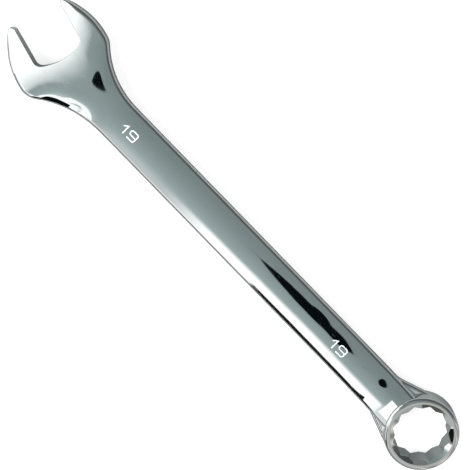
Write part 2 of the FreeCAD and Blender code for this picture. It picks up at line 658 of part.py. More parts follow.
# ---------------------------------------------------------------- numbers
def number_mark(name, back, back_expression):
    """A plain 19, read along the shank, sunk into the crown."""
    above = 1.0          # the cut starts this far over the crown
    thick = 1.4          # the flag's upright thickness, in strokes
    h, w, s = V["mark_height"], V["mark_width"], V["mark_stroke"]
    flag, drop, pitch, waist = V["mark_flag"], V["mark_drop"], V["mark_pitch"], V["mark_waist"]
    sk = new_sketch(name + "Sketch", "XY_Plane",
                    Placement(Vector(-back, -h / 2, V["shank_thickness"] / 2 + above), Rotation()),
                    [("Base.x", "-(%s)" % back_expression), ("Base.y", "-{mark_height} / 2"),
                     ("Base.z", "{shank_thickness} / 2 + %g" % above)])
    # the one: its stem, then its flag
    stem, stem_side = (flag, "{mark_flag}"), (flag + s, "{mark_flag} + {mark_stroke}")
    foot, head = (0, None), (h, "{mark_height}")
    flag_top = (h - drop, "{mark_height} - {mark_drop}")
    flag_under = (h - drop - thick * s, "{mark_height} - {mark_drop} - %g * {mark_stroke}" % thick)
    notch = (h - thick * s, "{mark_height} - %g * {mark_stroke}" % thick)
    one = [(stem, foot), (stem_side, foot), (stem_side, head), (stem, head),
           ((0, None), flag_top), ((0, None), flag_under), (stem, notch)]
    # the nine: its tail and loop, then the hole in the loop
    x0 = (pitch, "{mark_pitch}")
    x1 = (pitch + s, "{mark_pitch} + {mark_stroke}")
    x2 = (pitch + w - s, "{mark_pitch} + {mark_width} - {mark_stroke}")
    x3 = (pitch + w, "{mark_pitch} + {mark_width}")
    tail = (s, "{mark_stroke}")
    loop_under, loop_floor = (waist, "{mark_waist}"), (waist + s, "{mark_waist} + {mark_stroke}")
    loop_roof = (h - s, "{mark_height} - {mark_stroke}")
    nine = [(x0, foot), (x3, foot), (x3, head), (x0, head), (x0, loop_under), (x2, loop_under),
            (x2, tail), (x0, tail)]
    hole = [(x1, loop_floor), (x2, loop_floor), (x2, loop_roof), (x1, loop_roof)]
    for corners in (one, nine, hole):
        placed_loop(sk, [(x[0], y[0], x[1], y[1]) for x, y in corners])
    return pocket(name, solved(sk), above + V["mark_depth"], "%g + {mark_depth}" % above)


number_mark("NumberByJaw", V["jaw_centre_back"] - V["mark_from_jaw"],
            "{jaw_centre_back} - {mark_from_jaw}")
body.Tip = number_mark("NumberByRing", V["mark_from_ring"], "{mark_from_ring}")
doc.recompute()

# ---------------------------------------------------------------- export
for item in doc.Objects:
    if any(str(word) in ("Invalid", "Error") for word in item.State):
        raise RuntimeError("bad state: " + item.Name)
shape = body.Shape
if shape.isNull() or not shape.isValid() or len(shape.Solids) != 1:
    raise RuntimeError("wrench_body is not one valid solid")
size = shape.optimalBoundingBox()
print("wrench_body %.1f x %.1f x %.1f mm, %.0f mm3, %d faces" % (
    size.XLength, size.YLength, size.ZLength, shape.Volume, len(shape.Faces)))
shape.Solids[0].exportStep("parts/wrench_body.step")
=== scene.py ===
import json
import math
from types import SimpleNamespace

import bmesh
import bpy
import numpy as np
from mathutils import Matrix, Vector


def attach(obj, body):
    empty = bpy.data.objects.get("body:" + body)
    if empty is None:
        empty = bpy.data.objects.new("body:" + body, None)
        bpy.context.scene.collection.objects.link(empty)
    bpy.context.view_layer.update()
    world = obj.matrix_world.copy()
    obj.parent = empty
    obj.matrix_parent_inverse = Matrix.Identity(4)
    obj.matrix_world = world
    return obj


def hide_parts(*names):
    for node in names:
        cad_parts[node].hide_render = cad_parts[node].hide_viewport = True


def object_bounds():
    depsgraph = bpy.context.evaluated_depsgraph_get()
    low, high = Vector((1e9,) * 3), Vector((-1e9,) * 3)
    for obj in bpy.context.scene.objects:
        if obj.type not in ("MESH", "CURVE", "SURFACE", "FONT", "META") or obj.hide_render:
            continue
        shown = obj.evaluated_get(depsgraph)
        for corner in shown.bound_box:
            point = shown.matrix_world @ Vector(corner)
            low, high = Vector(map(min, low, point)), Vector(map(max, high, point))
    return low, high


# Looks of a 19 mm combination wrench: a smooth polished mesh around the
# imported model. The geometry below is worked out in millimetres, in the
# model's own frame, and written to the mesh in metres.

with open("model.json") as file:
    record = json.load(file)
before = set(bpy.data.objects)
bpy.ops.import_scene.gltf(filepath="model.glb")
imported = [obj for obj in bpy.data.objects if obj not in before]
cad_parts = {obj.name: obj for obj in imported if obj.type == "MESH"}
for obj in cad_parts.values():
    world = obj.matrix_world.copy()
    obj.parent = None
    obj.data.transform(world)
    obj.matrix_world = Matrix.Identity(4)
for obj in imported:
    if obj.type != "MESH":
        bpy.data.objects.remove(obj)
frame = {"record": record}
CAD_BOX = [list(corner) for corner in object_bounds()]

bl_info = {
    "name": "Combination Wrench",
    "version": (1, 0, 0),
    "blender": (4, 5, 0),
    "location": "View3D > Sidebar > Wrench",
    "description": "Builds a polished combination wrench and its studio",
    "category": "Add Mesh",
}

MM = 0.001
MOUNTS = {m["name"]: m for m in frame["record"]["mounts"]}


def mount_place(name):
    """A mount's place, in millimetres."""
    return np.array(MOUNTS[name]["pos_m"]) / MM


JAW_CENTRE = mount_place("open_jaw")[:2]
JAW_GAP = float(np.linalg.norm(mount_place("jaw_face_long") - mount_place("jaw_face_short")))
JAW_AXIS = -np.array(MOUNTS["open_jaw"]["axis"][:2])
RING_AXIS = np.array(MOUNTS["ring_socket"]["axis"])
RING_HEIGHT = 2 * float(np.dot(mount_place("ring_face_top"), RING_AXIS))
HEAD_THICKNESS = 2 * float(mount_place("head_face_top")[2])


# ---------------------------------------------------------------- settings
def length(label, text, default):
    """A size, given here in millimetres and kept in metres."""
    return bpy.props.FloatProperty(name=label, description=text, default=default * MM, min=0.0,
                                   subtype="DISTANCE", unit="LENGTH", precision=5)


def in_mm(group):
    """A settings group's values, with its lengths in millimetres."""
    values = {}
    for key in group.__annotations__:
        scale = MM if group.bl_rna.properties[key].unit == "LENGTH" else 1.0
        values[key] = getattr(group, key) / scale
    return SimpleNamespace(**values)


def tint(label, text, default):
    """A colour."""
    return bpy.props.FloatVectorProperty(name=label, description=text, default=default,
                                         subtype="COLOR", size=3, min=0.0, max=1.0)


def share(label, text, default):
    """A strength from 0 to 1."""
    return bpy.props.FloatProperty(name=label, description=text, default=default,
                                   min=0.0, max=1.0, subtype="FACTOR")


class WRENCH_PG_forging(bpy.types.PropertyGroup):
    """Sizes of the forging."""
    jaw_gap: length("Jaw gap", "Between the jaw faces", JAW_GAP)
    jaw_reach: length("Jaw reach", "Nut centre to the jaw tips", 8.3)
    throat_depth: length("Throat depth", "Nut centre to the back of the throat", 11.6)
    throat_radius: length("Throat radius", "Back of the throat", 20.0)
    throat_corner: length("Throat corner", "Corner radius of the throat", 3.0)
    tip_radius: length("Tip radius", "Inner rounding of the jaw tips", 2.0)
    tip_blend: length("Tip blend", "Small rounding where the tip meets the flank", 0.8)
    head_thickness: length("Head thickness", "Open end, face to face", HEAD_THICKNESS)
    flank_radius: length("Flank radius", "Outer flank of each jaw", 30.0)
    flank_shift_near: length("Flank shift, short jaw", "Flank centre across the jaw", 11.5)
    flank_shift_far: length("Flank shift, long jaw", "Flank centre across the jaw", 10.8)
    shoulder_radius: length("Shoulder radius", "Back corner of the head", 8.5)
    shoulder_back_near: length("Shoulder back, short jaw", "Shoulder behind the throat", 0.4)
    shoulder_back_far: length("Shoulder back, long jaw", "Shoulder behind the throat", 1.5)
    neck_radius_near: length("Neck radius, short jaw", "Shank to the short jaw", 34.0)
    neck_radius_far: length("Neck radius, long jaw", "Shank to the long jaw", 42.0)
    shank_width: length("Shank width", "Across the shank", 16.1)
    shank_thickness: length("Shank thickness", "At the crown", 7.0)
    crown_drop: length("Crown drop", "Crown lower at the flanks than at the middle", 0.97)
    rim_round: length("Rim rounding", "Outer rims of head and shank", 1.9)
    tip_fall: length("Tip fall", "Faces lower at the jaw tips than at the throat", 0.30)
    neck_roll: length("Neck roll", "How far in the neck's hollows round over", 9.0)
    neck_fall: length("Neck fall", "How much the neck's hollows round over", 1.5)
    jaw_break: length("Jaw edge rounding", "Edges of the jaw opening", 0.35)
    rim_crease: bpy.props.FloatProperty(
        name="Rim crease", description="The rounding stops this much short of the face",
        default=math.radians(6), subtype="ANGLE")


class WRENCH_PG_ring(bpy.types.PropertyGroup):
    """Sizes of the ring end."""
    flats: length("Socket flats", "Across the flats of the socket", 19.25)
    outer: length("Ring radius", "Outer radius of the ring", 14.1)
    height: length("Ring height", "Ring, face to face", RING_HEIGHT)
    tilt: bpy.props.FloatProperty(
        name="Ring tilt", description="Ring face turned down",
        default=math.acos(RING_AXIS[2]), subtype="ANGLE")
    round: length("Ring rounding", "Outer rounding of the ring", 1.6)
    lead_radius: length("Lead-in radius", "Lead-in cone at the ring's face", 11.9)
    lead_depth: length("Lead-in depth", "Depth of the lead-in cone", 1.35)
    web_angle: bpy.props.FloatProperty(
        name="Web angle", description="Webs splay from the shank",
        default=math.radians(19.5), subtype="ANGLE")
    web_sink: length("Web sink", "Webs start this far inside the flanks", 0.5)
    web_radius: length("Web radius", "Hollow where the webs leave the shank", 24.0)
    web_thickness: length("Web thickness", "Webs beside the neck", 4.4)
    web_round: length("Web rounding", "Rims of the webs", 1.4)


class WRENCH_PG_marks(bpy.types.PropertyGroup):
    """Sizes of the two plain size numbers."""
    height: length("Height", "Height of the numbers", 3.9)
    width: length("Width", "Width of the nine", 3.8)
    stroke: length("Stroke", "Width of the strokes", 0.50)
    flag: length("Flag", "Reach of the one's flag", 1.5)
    drop: length("Drop", "Drop of the one's flag", 1.5)
    pitch: length("Pitch", "From the one to the nine", 3.4)
    waist: length("Waist", "Foot of the nine to the middle of its loop's underside", 1.85)
    corner: length("Corner", "Rounding of the nine's corners", 0.75)
    depth: length("Depth", "Depth below the crown", 0.16)
    by_jaw: length("Number by the jaw", "Nut centre to the first number", 44.5)
    by_ring: length("Number by the ring", "Ring centre to the second number", 46.6)


class WRENCH_PG_finish(bpy.types.PropertyGroup):
    """Colours and strengths of the finishes."""
    chrome: tint("Chrome", "Colour of the plating", (0.80, 0.83, 0.84))
    frost: tint("Frost", "Colour of the stamped numbers", (0.80, 0.83, 0.84))
    roughness: share("Roughness", "Roughness of the polish", 0.035)
    scratches: share("Scratches", "How strongly hairline scratches show", 0.30)
    waviness: bpy.props.FloatProperty(name="Waviness", description="Height of the polish's slow waves",
                                      default=0.00003, min=0.0, unit="LENGTH")


# ---------------------------------------------------------------- paths
def arc_piece(centre, radius, start, stop, way):
    """Arc about centre from point start to point stop, way +1 anticlockwise."""
    a = math.atan2(start[1] - centre[1], start[0] - centre[0])
    b = math.atan2(stop[1] - centre[1], stop[0] - centre[0])
    sweep = (b - a) % (2 * math.pi) if way > 0 else -((a - b) % (2 * math.pi))
    return ("arc", np.array(centre), radius, a, sweep)


def line_piece(start, stop):
    """Straight piece from point start to point stop."""
    return ("line", np.array(start, float), np.array(stop, float))


def piece_length(piece):
    """Length of one arc or line."""
    if piece[0] == "arc":
        return abs(piece[2] * piece[4])
    return float(np.linalg.norm(piece[2] - piece[1]))


def path_length(pieces):
    """Length of a path of arcs and lines."""
    return sum(piece_length(p) for p in pieces)


def at_share(piece, t):
    """Point and unit direction of travel at share t of a piece."""
    if piece[0] == "arc":
        _, centre, radius, start, sweep = piece
        angle = start + sweep * t
        radial = np.array([math.cos(angle), math.sin(angle)])
        way = math.copysign(1.0, sweep)
        return centre + radius * radial, way * np.array([-radial[1], radial[0]])
    step = piece[2] - piece[1]
    return piece[1] + step * t, step / np.linalg.norm(step)


def walk(pieces, count, metal, start=0.0, stop=1.0):
    """count points evenly along the pieces, with unit normals into the metal,
    which lies on the left of the travel where metal is +1."""
    lengths = np.array([piece_length(p) for p in pieces])
    ends = np.cumsum(lengths)
    points, normals = [], []
    for s in np.linspace(start, stop, count) * ends[-1]:
        k = min(int(np.searchsorted(ends, s)), len(pieces) - 1)
        t = (s - ends[k] + lengths[k]) / lengths[k]
        point, way = at_share(pieces[k], t)
        points.append(point)
        normals.append(metal * np.array([-way[1], way[0]]))
    return np.array(points), np.array(normals)


def ease(x, low, high):
    """0 below low, 1 above high, with no jump in slope or curvature."""
    t = np.clip((np.asarray(x, float) - low) / (high - low), 0.0, 1.0)
    return t * t * t * (t * (6 * t - 15) + 10)


def ease_area(x, low, high):
    """What ease adds up to from low to x."""
    t = np.clip((np.asarray(x, float) - low) / (high - low), 0.0, 1.0)
    return (high - low) * t ** 4 * (t * (t - 3) + 2.5) + np.maximum(np.asarray(x) - high, 0.0)


def turn_left(v):
    """The vector turned a quarter to the left."""
    return np.array([-v[1], v[0]])


def jaw_point(along, across):
    """A point of the jaw's own axes, in the wrench's."""
    return JAW_CENTRE + along * JAW_AXIS + across * turn_left(JAW_AXIS)


def circles_meet(c1, r1, c2, r2, side):
    """Where two circles cross, on the left of the line c1 to c2 for side +1."""
    step = c2 - c1
    span = np.linalg.norm(step)
    x = (span ** 2 + r1 ** 2 - r2 ** 2) / (2 * span)
    y = math.sqrt(max(r1 ** 2 - x ** 2, 0.0))
    return c1 + step / span * x + side * y * turn_left(step / span)


# ---------------------------------------------------------------- skin
class Skin:
    """Quads gathered with a normal for each corner, so that every surface
    keeps its true shading whatever faces it is cut into."""

    def __init__(self):
        self.points, self.faces, self.normals = {}, [], []

    def vertex(self, p):
        key = (round(p[0], 4), round(p[1], 4), round(p[2], 4))
        return self.points.setdefault(key, len(self.points))

    def face(self, corners):
        """corners: (point, normal) in order; repeated points are dropped."""
        ids, normals = [], []
        for p, n in corners:
            v = self.vertex(p)
            if v not in ids:
                ids.append(v)
                normals.append(n)
        if len(ids) > 2:
            self.faces.append(ids)
            self.normals.append(normals)

    def grid(self, rows):
        """rows[i][j] = (point, normal for the faces before column j, normal
        for those after it)."""
        for a, b in zip(rows, rows[1:]):
            for j in range(len(a) - 1):
                self.face([(a[j][0], a[j][2]), (a[j + 1][0], a[j + 1][1]),
                           (b[j + 1][0], b[j + 1][1]), (b[j][0], b[j][2])])

    def mesh(self, name):
        mesh = bpy.data.meshes.new(name)
        places = [(x * MM, y * MM, z * MM) for x, y, z in self.points]
        mesh.from_pydata(places, [], self.faces)
        layer = mesh.attributes.new("true_normal", "FLOAT_VECTOR", "CORNER")
        flat = np.array([n for face in self.normals for n in face], np.float32)
        layer.data.foreach_set("vector", flat.ravel())
        mesh.validate()
        return mesh


def close_and_turn_out(mesh):
    """Closes open ends and makes every face point outwards."""
    bm = bmesh.new()
    bm.from_mesh(mesh)
    bmesh.ops.holes_fill(bm, edges=[e for e in bm.edges if e.is_boundary], sides=0)
    bmesh.ops.recalc_face_normals(bm, faces=bm.faces)
    bm.to_mesh(mesh)
    bm.free()
    return mesh


def surface_normal(height, x, y, up):
    """Normal of the surface z = height(x, y), facing up or down."""
    step = 0.02
    dx = (height(x + step, y) - height(x - step, y)) / (2 * step)
    dy = (height(x, y + step) - height(x, y - step)) / (2 * step)
    n = np.array([-dx, -dy, 1.0]) * up
    return n / np.linalg.norm(n)


def rim_columns(point, inward, radius, crease, height, up, steps):
    """Rounding from the side wall, where it starts, to the top or bottom.
    Returns its columns as (point, normal, normal) from the wall on."""
    n2 = np.array([inward[0], inward[1], 0.0])
    contact = point + inward * radius
    for _ in range(2):
        n_face = surface_normal(height, contact[0], contact[1], up)
        lean = math.asin(float(np.clip(-np.dot(n_face, n2), -0.9, 0.9)))
        last = math.pi / 2 - lean - crease
        contact = point + inward * radius * (1 - math.cos(last))
    z_mid = height(*contact) - up * radius * math.sin(last)
    columns = []
    for k in range(steps + 1):
        phi = last * k / steps
        xy = point + inward * radius * (1 - math.cos(phi))
        n = -n2 * math.cos(phi) + np.array([0, 0, up * math.sin(phi)])
        columns.append((np.array([xy[0], xy[1], z_mid + up * radius * math.sin(phi)]), n, n))
    face_normal = surface_normal(height, contact[0], contact[1], up)
    columns[-1] = (columns[-1][0], columns[-1][1], face_normal)
    return columns, contact


def band(skin, left, right, tops, crease, middles=None, steps=8, across=8):
    """Closed skin between two side paths. left and right are (points, inward
    normals, rim radii); tops is (top height, bottom height); middles is where
    the crosswise lines pass between them."""
    rows = []
    for i in range(len(left[0])):
        rims = {}
        for name, side in (("left", left), ("right", right)):
            point, inward, radius = side[0][i], side[1][i], side[2][i]
            for up, height in ((1, tops[0]), (-1, tops[1])):
                rims[name, up] = rim_columns(point, inward, radius, crease, height, up, steps)
        row = []
        for up, first, second in ((1, "left", "right"), (-1, "right", "left")):
            columns, start = rims[first, up]
            back, stop = rims[second, up]
            height = tops[0] if up > 0 else tops[1]
            row += columns
            via = [start, stop] if middles is None else [start, middles[i], stop]
            inner = []
            for a, b in zip(via, via[1:]):
                inner += [a + (b - a) * k / across for k in range(1, across + 1)]
            for xy in inner[:-1]:
                n = surface_normal(height, xy[0], xy[1], up)
                row.append((np.array([xy[0], xy[1], height(*xy)]), n, n))
            row += [(p, after, before) for p, before, after in reversed(back)]
        row.append(row[0])
        rows.append(row)
    skin.grid(rows)


# ---------------------------------------------------------------- forging
# Spans along x, from and to, over which the faces change.
HEAD_TO_SHANK = (-187.0, -138.0)    # the head's thickness eases to the shank's
FLAT_TO_BOWED = (-183.0, -148.0)    # the head's flat faces take the shank's bow
TIP_FALL_FROM = -186.0              # the faces fall away from here to the jaw tips,
TIP_FALL_MARGIN = 3.0               # in full this far past the jaw's reach
NECK_ROLL_IN = (163.0, 176.0)       # the hollows' roll comes in, measured in -x,
NECK_ROLL_OUT = (180.0, 192.0)      # and goes out again
NEAR_NECK_SHARE = 0.5               # share of the roll on the short jaw's side
CLIMB = ((0.085, -54.0, -30.0),     # slope that the crown gains towards the ring,
         (0.16, -29.5, -17.5),      # and the span in which it gains it
         (0.08, -18.0, -14.0))
RELIEF, RELIEF_SPAN = 0.35, (-30.0, -14.0)    # the ramp falls this much to its flanks
HOLLOW, HOLLOW_SPAN = 0.6, (-30.0, -8.0)      # the underside rises this much under the ramp

RING_STOP = -10.0      # the shank ends here, inside the ring's wall
INSET = 0.015          # the looks stay this little inside the model's outline
SHOULDER_SPLIT = 0.35  # the head's rows begin at this share of the shoulder's arc
SHANK_ROWS, HEAD_ROWS = 150, 100
SPINE_BEND = 0.75      # the shank's middle line turns to the jaw in its last rows
TIP_RIM = 1.3          # rims at the jaw tips, in roundings of the jaw's edge
OUTER_TAPER, INNER_TAPER = 9.0, 3.0    # rims reach that size over these lengths


def crown_heights(s):
    """Top and bottom of the forging as functions of place."""
    head, shank, half = s.head_thickness / 2, s.shank_thickness / 2, s.shank_width / 2
    bow = s.crown_drop / half ** 2
    tip_x = JAW_CENTRE[0] - s.jaw_reach - TIP_FALL_MARGIN
    necks = [(neck_centre(s, 1), s.neck_radius_near, NEAR_NECK_SHARE * s.neck_fall),
             (neck_centre(s, -1), s.neck_radius_far, s.neck_fall)]

    def crown(x, y):
        level = head + (shank - head) * ease(x, *HEAD_TO_SHANK)
        return level - bow * ease(x, *FLAT_TO_BOWED) * y * y

    def soften(x, y):
        """The head falls away a little to its tips and to the neck's hollows."""
        fall = s.tip_fall * np.clip((x - TIP_FALL_FROM) / (tip_x - TIP_FALL_FROM), 0.0, 1.2) ** 2
        for centre, radius, drop in necks:
            depth = math.hypot(x - centre[0], y - centre[1]) - radius
            near = max(1.0 - depth / s.neck_roll, 0.0)
            fall += drop * near ** 3 * ease(-x, *NECK_ROLL_IN) * (1.0 - ease(-x, *NECK_ROLL_OUT))
        return fall

    def top(x, y):
        climb = sum(slope * ease_area(x, low, high) for slope, low, high in CLIMB)
        relief = RELIEF * ease(x, *RELIEF_SPAN) * (y / half) ** 2
        return crown(x, y) - soften(x, y) + climb - relief

    def bottom(x, y):
        return -(crown(x, y) - soften(x, y) - HOLLOW * ease(x, *HOLLOW_SPAN))

    return top, bottom


def neck_centre(s, side):
    """Centre of the arc that leads from the shank into one side of the head."""
    return jaw_side(s, side)[3]


def jaw_side(s, side):
    """Outer and inner paths of one half, the first from the shank and the
    second from the throat to the jaw tip, the share of the outer path at
    which the head's rows begin, and the centre of the neck's arc."""
    tag = "near" if side > 0 else "far"
    r1, r2, r3 = getattr(s, "neck_radius_" + tag), s.shoulder_radius, s.flank_radius
    back, half = getattr(s, "shoulder_back_" + tag), s.shank_width / 2
    shift = -side * getattr(s, "flank_shift_" + tag)
    c3 = jaw_point(s.throat_depth, shift)
    c2 = jaw_point(s.throat_depth + back, shift + side * math.sqrt((r3 - r2) ** 2 - back ** 2))
    c1y = side * (half + r1)
    c1 = np.array([c2[0] + math.sqrt((r1 + r2) ** 2 - (c1y - c2[1]) ** 2), c1y])
    low, mid = np.array([c1[0], side * half]), c2 + (c1 - c2) * r2 / (r1 + r2)
    high = c3 + (c2 - c3) * r3 / (r3 - r2)

    gap, tp, tb = s.jaw_gap / 2, s.tip_radius, s.tip_blend
    tip_c = jaw_point(tp - s.jaw_reach, side * (gap + tp))
    blend_c = circles_meet(c3, r3 - tb, tip_c, tp - tb, side)
    on_flank = c3 + (blend_c - c3) * r3 / (r3 - tb)
    on_tip = tip_c + (blend_c - tip_c) * tp / (tp - tb)
    out = (on_flank - blend_c) / tb + (on_tip - blend_c) / tb
    end = blend_c + out / np.linalg.norm(out) * tb

    shank_end = np.array([RING_STOP, side * half])
    outer = [line_piece(shank_end, low), arc_piece(c1, r1, low, mid, -side),
             arc_piece(c2, r2, mid, high, side), arc_piece(c3, r3, high, on_flank, side),
             arc_piece(blend_c, tb, on_flank, end, side)]
    shoulder = path_length(outer[:2]) + SHOULDER_SPLIT * piece_length(outer[2])
    split = shoulder / path_length(outer)

    tr, tc = s.throat_radius, s.throat_corner
    tx = s.throat_depth - tr
    cx = tx + math.sqrt((tr - tc) ** 2 - (gap - tc) ** 2)
    k = tr / (tr - tc)
    throat_c, corner_c = jaw_point(tx, 0), jaw_point(cx, side * (gap - tc))
    meet = jaw_point(tx + (cx - tx) * k, side * (gap - tc) * k)
    face_in, face_out = jaw_point(cx, side * gap), jaw_point(tp - s.jaw_reach, side * gap)
    inner = [arc_piece(throat_c, tr, jaw_point(s.throat_depth, 0), meet, side),
             arc_piece(corner_c, tc, meet, face_in, side), line_piece(face_in, face_out),
             arc_piece(tip_c, tp, face_out, on_tip, -side),
             arc_piece(blend_c, tb, on_tip, end, -side)]
    return outer, inner, split, c1


def build_forging(s):
    """Shank and open end as one closed mesh."""
    skin, heights = Skin(), crown_heights(s)
    tip_rim = s.jaw_break * TIP_RIM
    shanks = {}
    for side in (1, -1):
        outer, inner, split, _ = jaw_side(s, side)
        points, inward = walk(outer, SHANK_ROWS, side, 0.0, split)
        shanks[side] = (points + INSET * inward, inward, np.full(SHANK_ROWS, s.rim_round))
        points, inward = walk(outer, HEAD_ROWS, side, split, 1.0)
        to_tip = (1.0 - np.linspace(split, 1.0, HEAD_ROWS)) * path_length(outer)
        share_in = ease(to_tip, 0.0, OUTER_TAPER)
        outside = (points + INSET * share_in[:, None] * inward, inward,
                   tip_rim + (s.rim_round - tip_rim) * share_in)
        points, inward = walk(inner, HEAD_ROWS, -side)
        to_tip = path_length(inner) * (1.0 - np.linspace(0, 1, HEAD_ROWS))
        edge = s.jaw_break + (tip_rim - s.jaw_break) * (1 - ease(to_tip, 0.0, INNER_TAPER))
        band(skin, outside, (points, inward, edge), heights, s.rim_crease)
    middle = jaw_point(s.throat_depth, 0) + JAW_AXIS * s.jaw_break
    t = np.linspace(0, 1, SHANK_ROWS)
    spine_x = RING_STOP + (middle[0] - RING_STOP) * t
    spine = np.stack([spine_x, middle[1] * ease(t, SPINE_BEND, 1.0)], axis=1)
    band(skin, shanks[1], shanks[-1], heights, s.rim_crease, middles=spine)
    return close_and_turn_out(skin.mesh("forging"))


# ---------------------------------------------------------------- ring end
WEB_TUCK = 0.05            # the webs end this far inside the ring's outer wall
WEB_ROWS = 40
RING_BORE = 6.0            # rough bore, which the socket's cut takes away
RING_LAND = 0.9            # flat row beside the ring's rounding
RING_CREASE = math.radians(5)
RING_TURNS, RING_STEPS = 192, 10
CUTTER_REACH = 1.6         # height of the socket's cutter, in heights of the ring
CONE_SIDES = 240


def build_webs(s, r):
    """The thinner plate whose two sides run on to the ring's circle."""
    wr, ro = r.web_radius, r.outer - WEB_TUCK
    wy = s.shank_width / 2 - r.web_sink
    a = r.web_angle
    wx = (math.cos(a) * (wy + wr) - ro - wr) / math.sin(a)
    bend = np.array([wx + wr * math.sin(a), wy + wr - wr * math.cos(a)])
    touch = np.array([-ro * math.sin(a), ro * math.cos(a)])
    skin, half = Skin(), r.web_thickness / 2
    sides = []
    for side in (1, -1):
        flip = np.array([1, side])
        path = [arc_piece((wx, side * (wy + wr)), wr, np.array([wx, wy]) * flip, bend * flip, side),
                line_piece(bend * flip, touch * flip)]
        sides.append((*walk(path, WEB_ROWS, -side), np.full(WEB_ROWS, r.web_round)))
    flat = (lambda x, y: half, lambda x, y: -half)
    band(skin, sides[0], sides[1], flat, 0.0)
    return close_and_turn_out(skin.mesh("webs"))


def build_ring(r):
    """The ring before its socket is cut: an annulus, turned about its axis."""
    ro, h, rr, last = r.outer, r.height / 2, r.round, math.pi / 2 - RING_CREASE
    profile = [((RING_BORE, h), (0, 1), (0, 1)), ((ro - rr - RING_LAND, h), (0, 1), (0, 1))]
    for k in range(RING_STEPS + 1):
        phi = last - last * k / RING_STEPS
        n = (math.cos(phi), math.sin(phi))
        p = (ro - rr + rr * n[0], h - rr + rr * n[1])
        profile.append((p, (0, 1) if k == 0 else n, n))
    lower = [((x, -z), (b[0], -b[1]), (a[0], -a[1])) for (x, z), a, b in reversed(profile)]
    profile += lower
    profile.append(((RING_BORE, h), (-1, 0), (0, 1)))
    lean = np.array([[RING_AXIS[2], 0, RING_AXIS[0]], [0, 1, 0], [-RING_AXIS[0], 0, RING_AXIS[2]]])
    rows = []
    for k in range(RING_TURNS + 1):
        a = 2 * math.pi * k / RING_TURNS
        c, w = math.cos(a), math.sin(a)
        row = []
        for (x, z), before, after in profile:
            row.append((lean @ np.array([x * c, x * w, z]),
                        lean @ np.array([before[0] * c, before[0] * w, before[1]]),
                        lean @ np.array([after[0] * c, after[0] * w, after[1]])))
        rows.append(row)
    skin = Skin()
    skin.grid(rows)
    return close_and_turn_out(skin.mesh("ring"))


# ---------------------------------------------------------------- node trees
def new_tree(name, inputs):
    """Geometry node tree with a geometry in and out and the named inputs."""
    tree = bpy.data.node_groups.new(name, "GeometryNodeTree")
    tree.interface.new_socket("Geometry", in_out="INPUT", socket_type="NodeSocketGeometry")
    for label, kind, default in inputs:
        socket = tree.interface.new_socket(label, in_out="INPUT", socket_type=kind)
        if default is not None:
            socket.default_value = default
    tree.interface.new_socket("Geometry", in_out="OUTPUT", socket_type="NodeSocketGeometry")
    return tree


def node(tree, kind, values=None, **settings):
    """A node with its settings, and its sockets linked or set."""
    made = tree.nodes.new(kind)
    for key, value in settings.items():
        setattr(made, key, value)
    for key, value in (values or {}).items():
        if isinstance(value, bpy.types.NodeSocket):
            tree.links.new(value, made.inputs[key])
        else:
            made.inputs[key].default_value = value
    return made


def maths(tree, operation, a, b):
    """Result of a sum on two values or sockets."""
    return node(tree, "ShaderNodeMath", {0: a, 1: b}, operation=operation).outputs[0]


def fade(tree, value, low, high):
    """0 at low, 1 at high, smoothly; low may be the larger."""
    flip = low > high
    made = node(tree, "ShaderNodeMapRange", {0: value, 1: min(low, high), 2: max(low, high),
                                             3: 1.0 if flip else 0.0, 4: 0.0 if flip else 1.0},
                interpolation_type="SMOOTHSTEP")
    return made.outputs[0]


def blend_colour(tree, factor, first, second):
    """Mixes two colours or sockets, first at 0 and second at 1."""
    made = tree.nodes.new("ShaderNodeMix")
    made.data_type = "RGBA"
    for socket, value in ((made.inputs[0], factor), (made.inputs[6], first), (made.inputs[7], second)):
        if isinstance(value, bpy.types.NodeSocket):
            tree.links.new(value, socket)
        elif isinstance(value, (int, float)):
            socket.default_value = value
        else:
            socket.default_value = (*value, 1.0)
    return made.outputs[2]


def end_tree(tree, result, finish):
    """Realizes what a tree has made, gives it its material and puts it out."""
    whole = node(tree, "GeometryNodeRealizeInstances", {0: result})
    last = node(tree, "GeometryNodeSetMaterial", {"Geometry": whole.outputs[0], "Material": finish})
    node(tree, "NodeGroupOutput", {0: last.outputs[0]})
    return tree


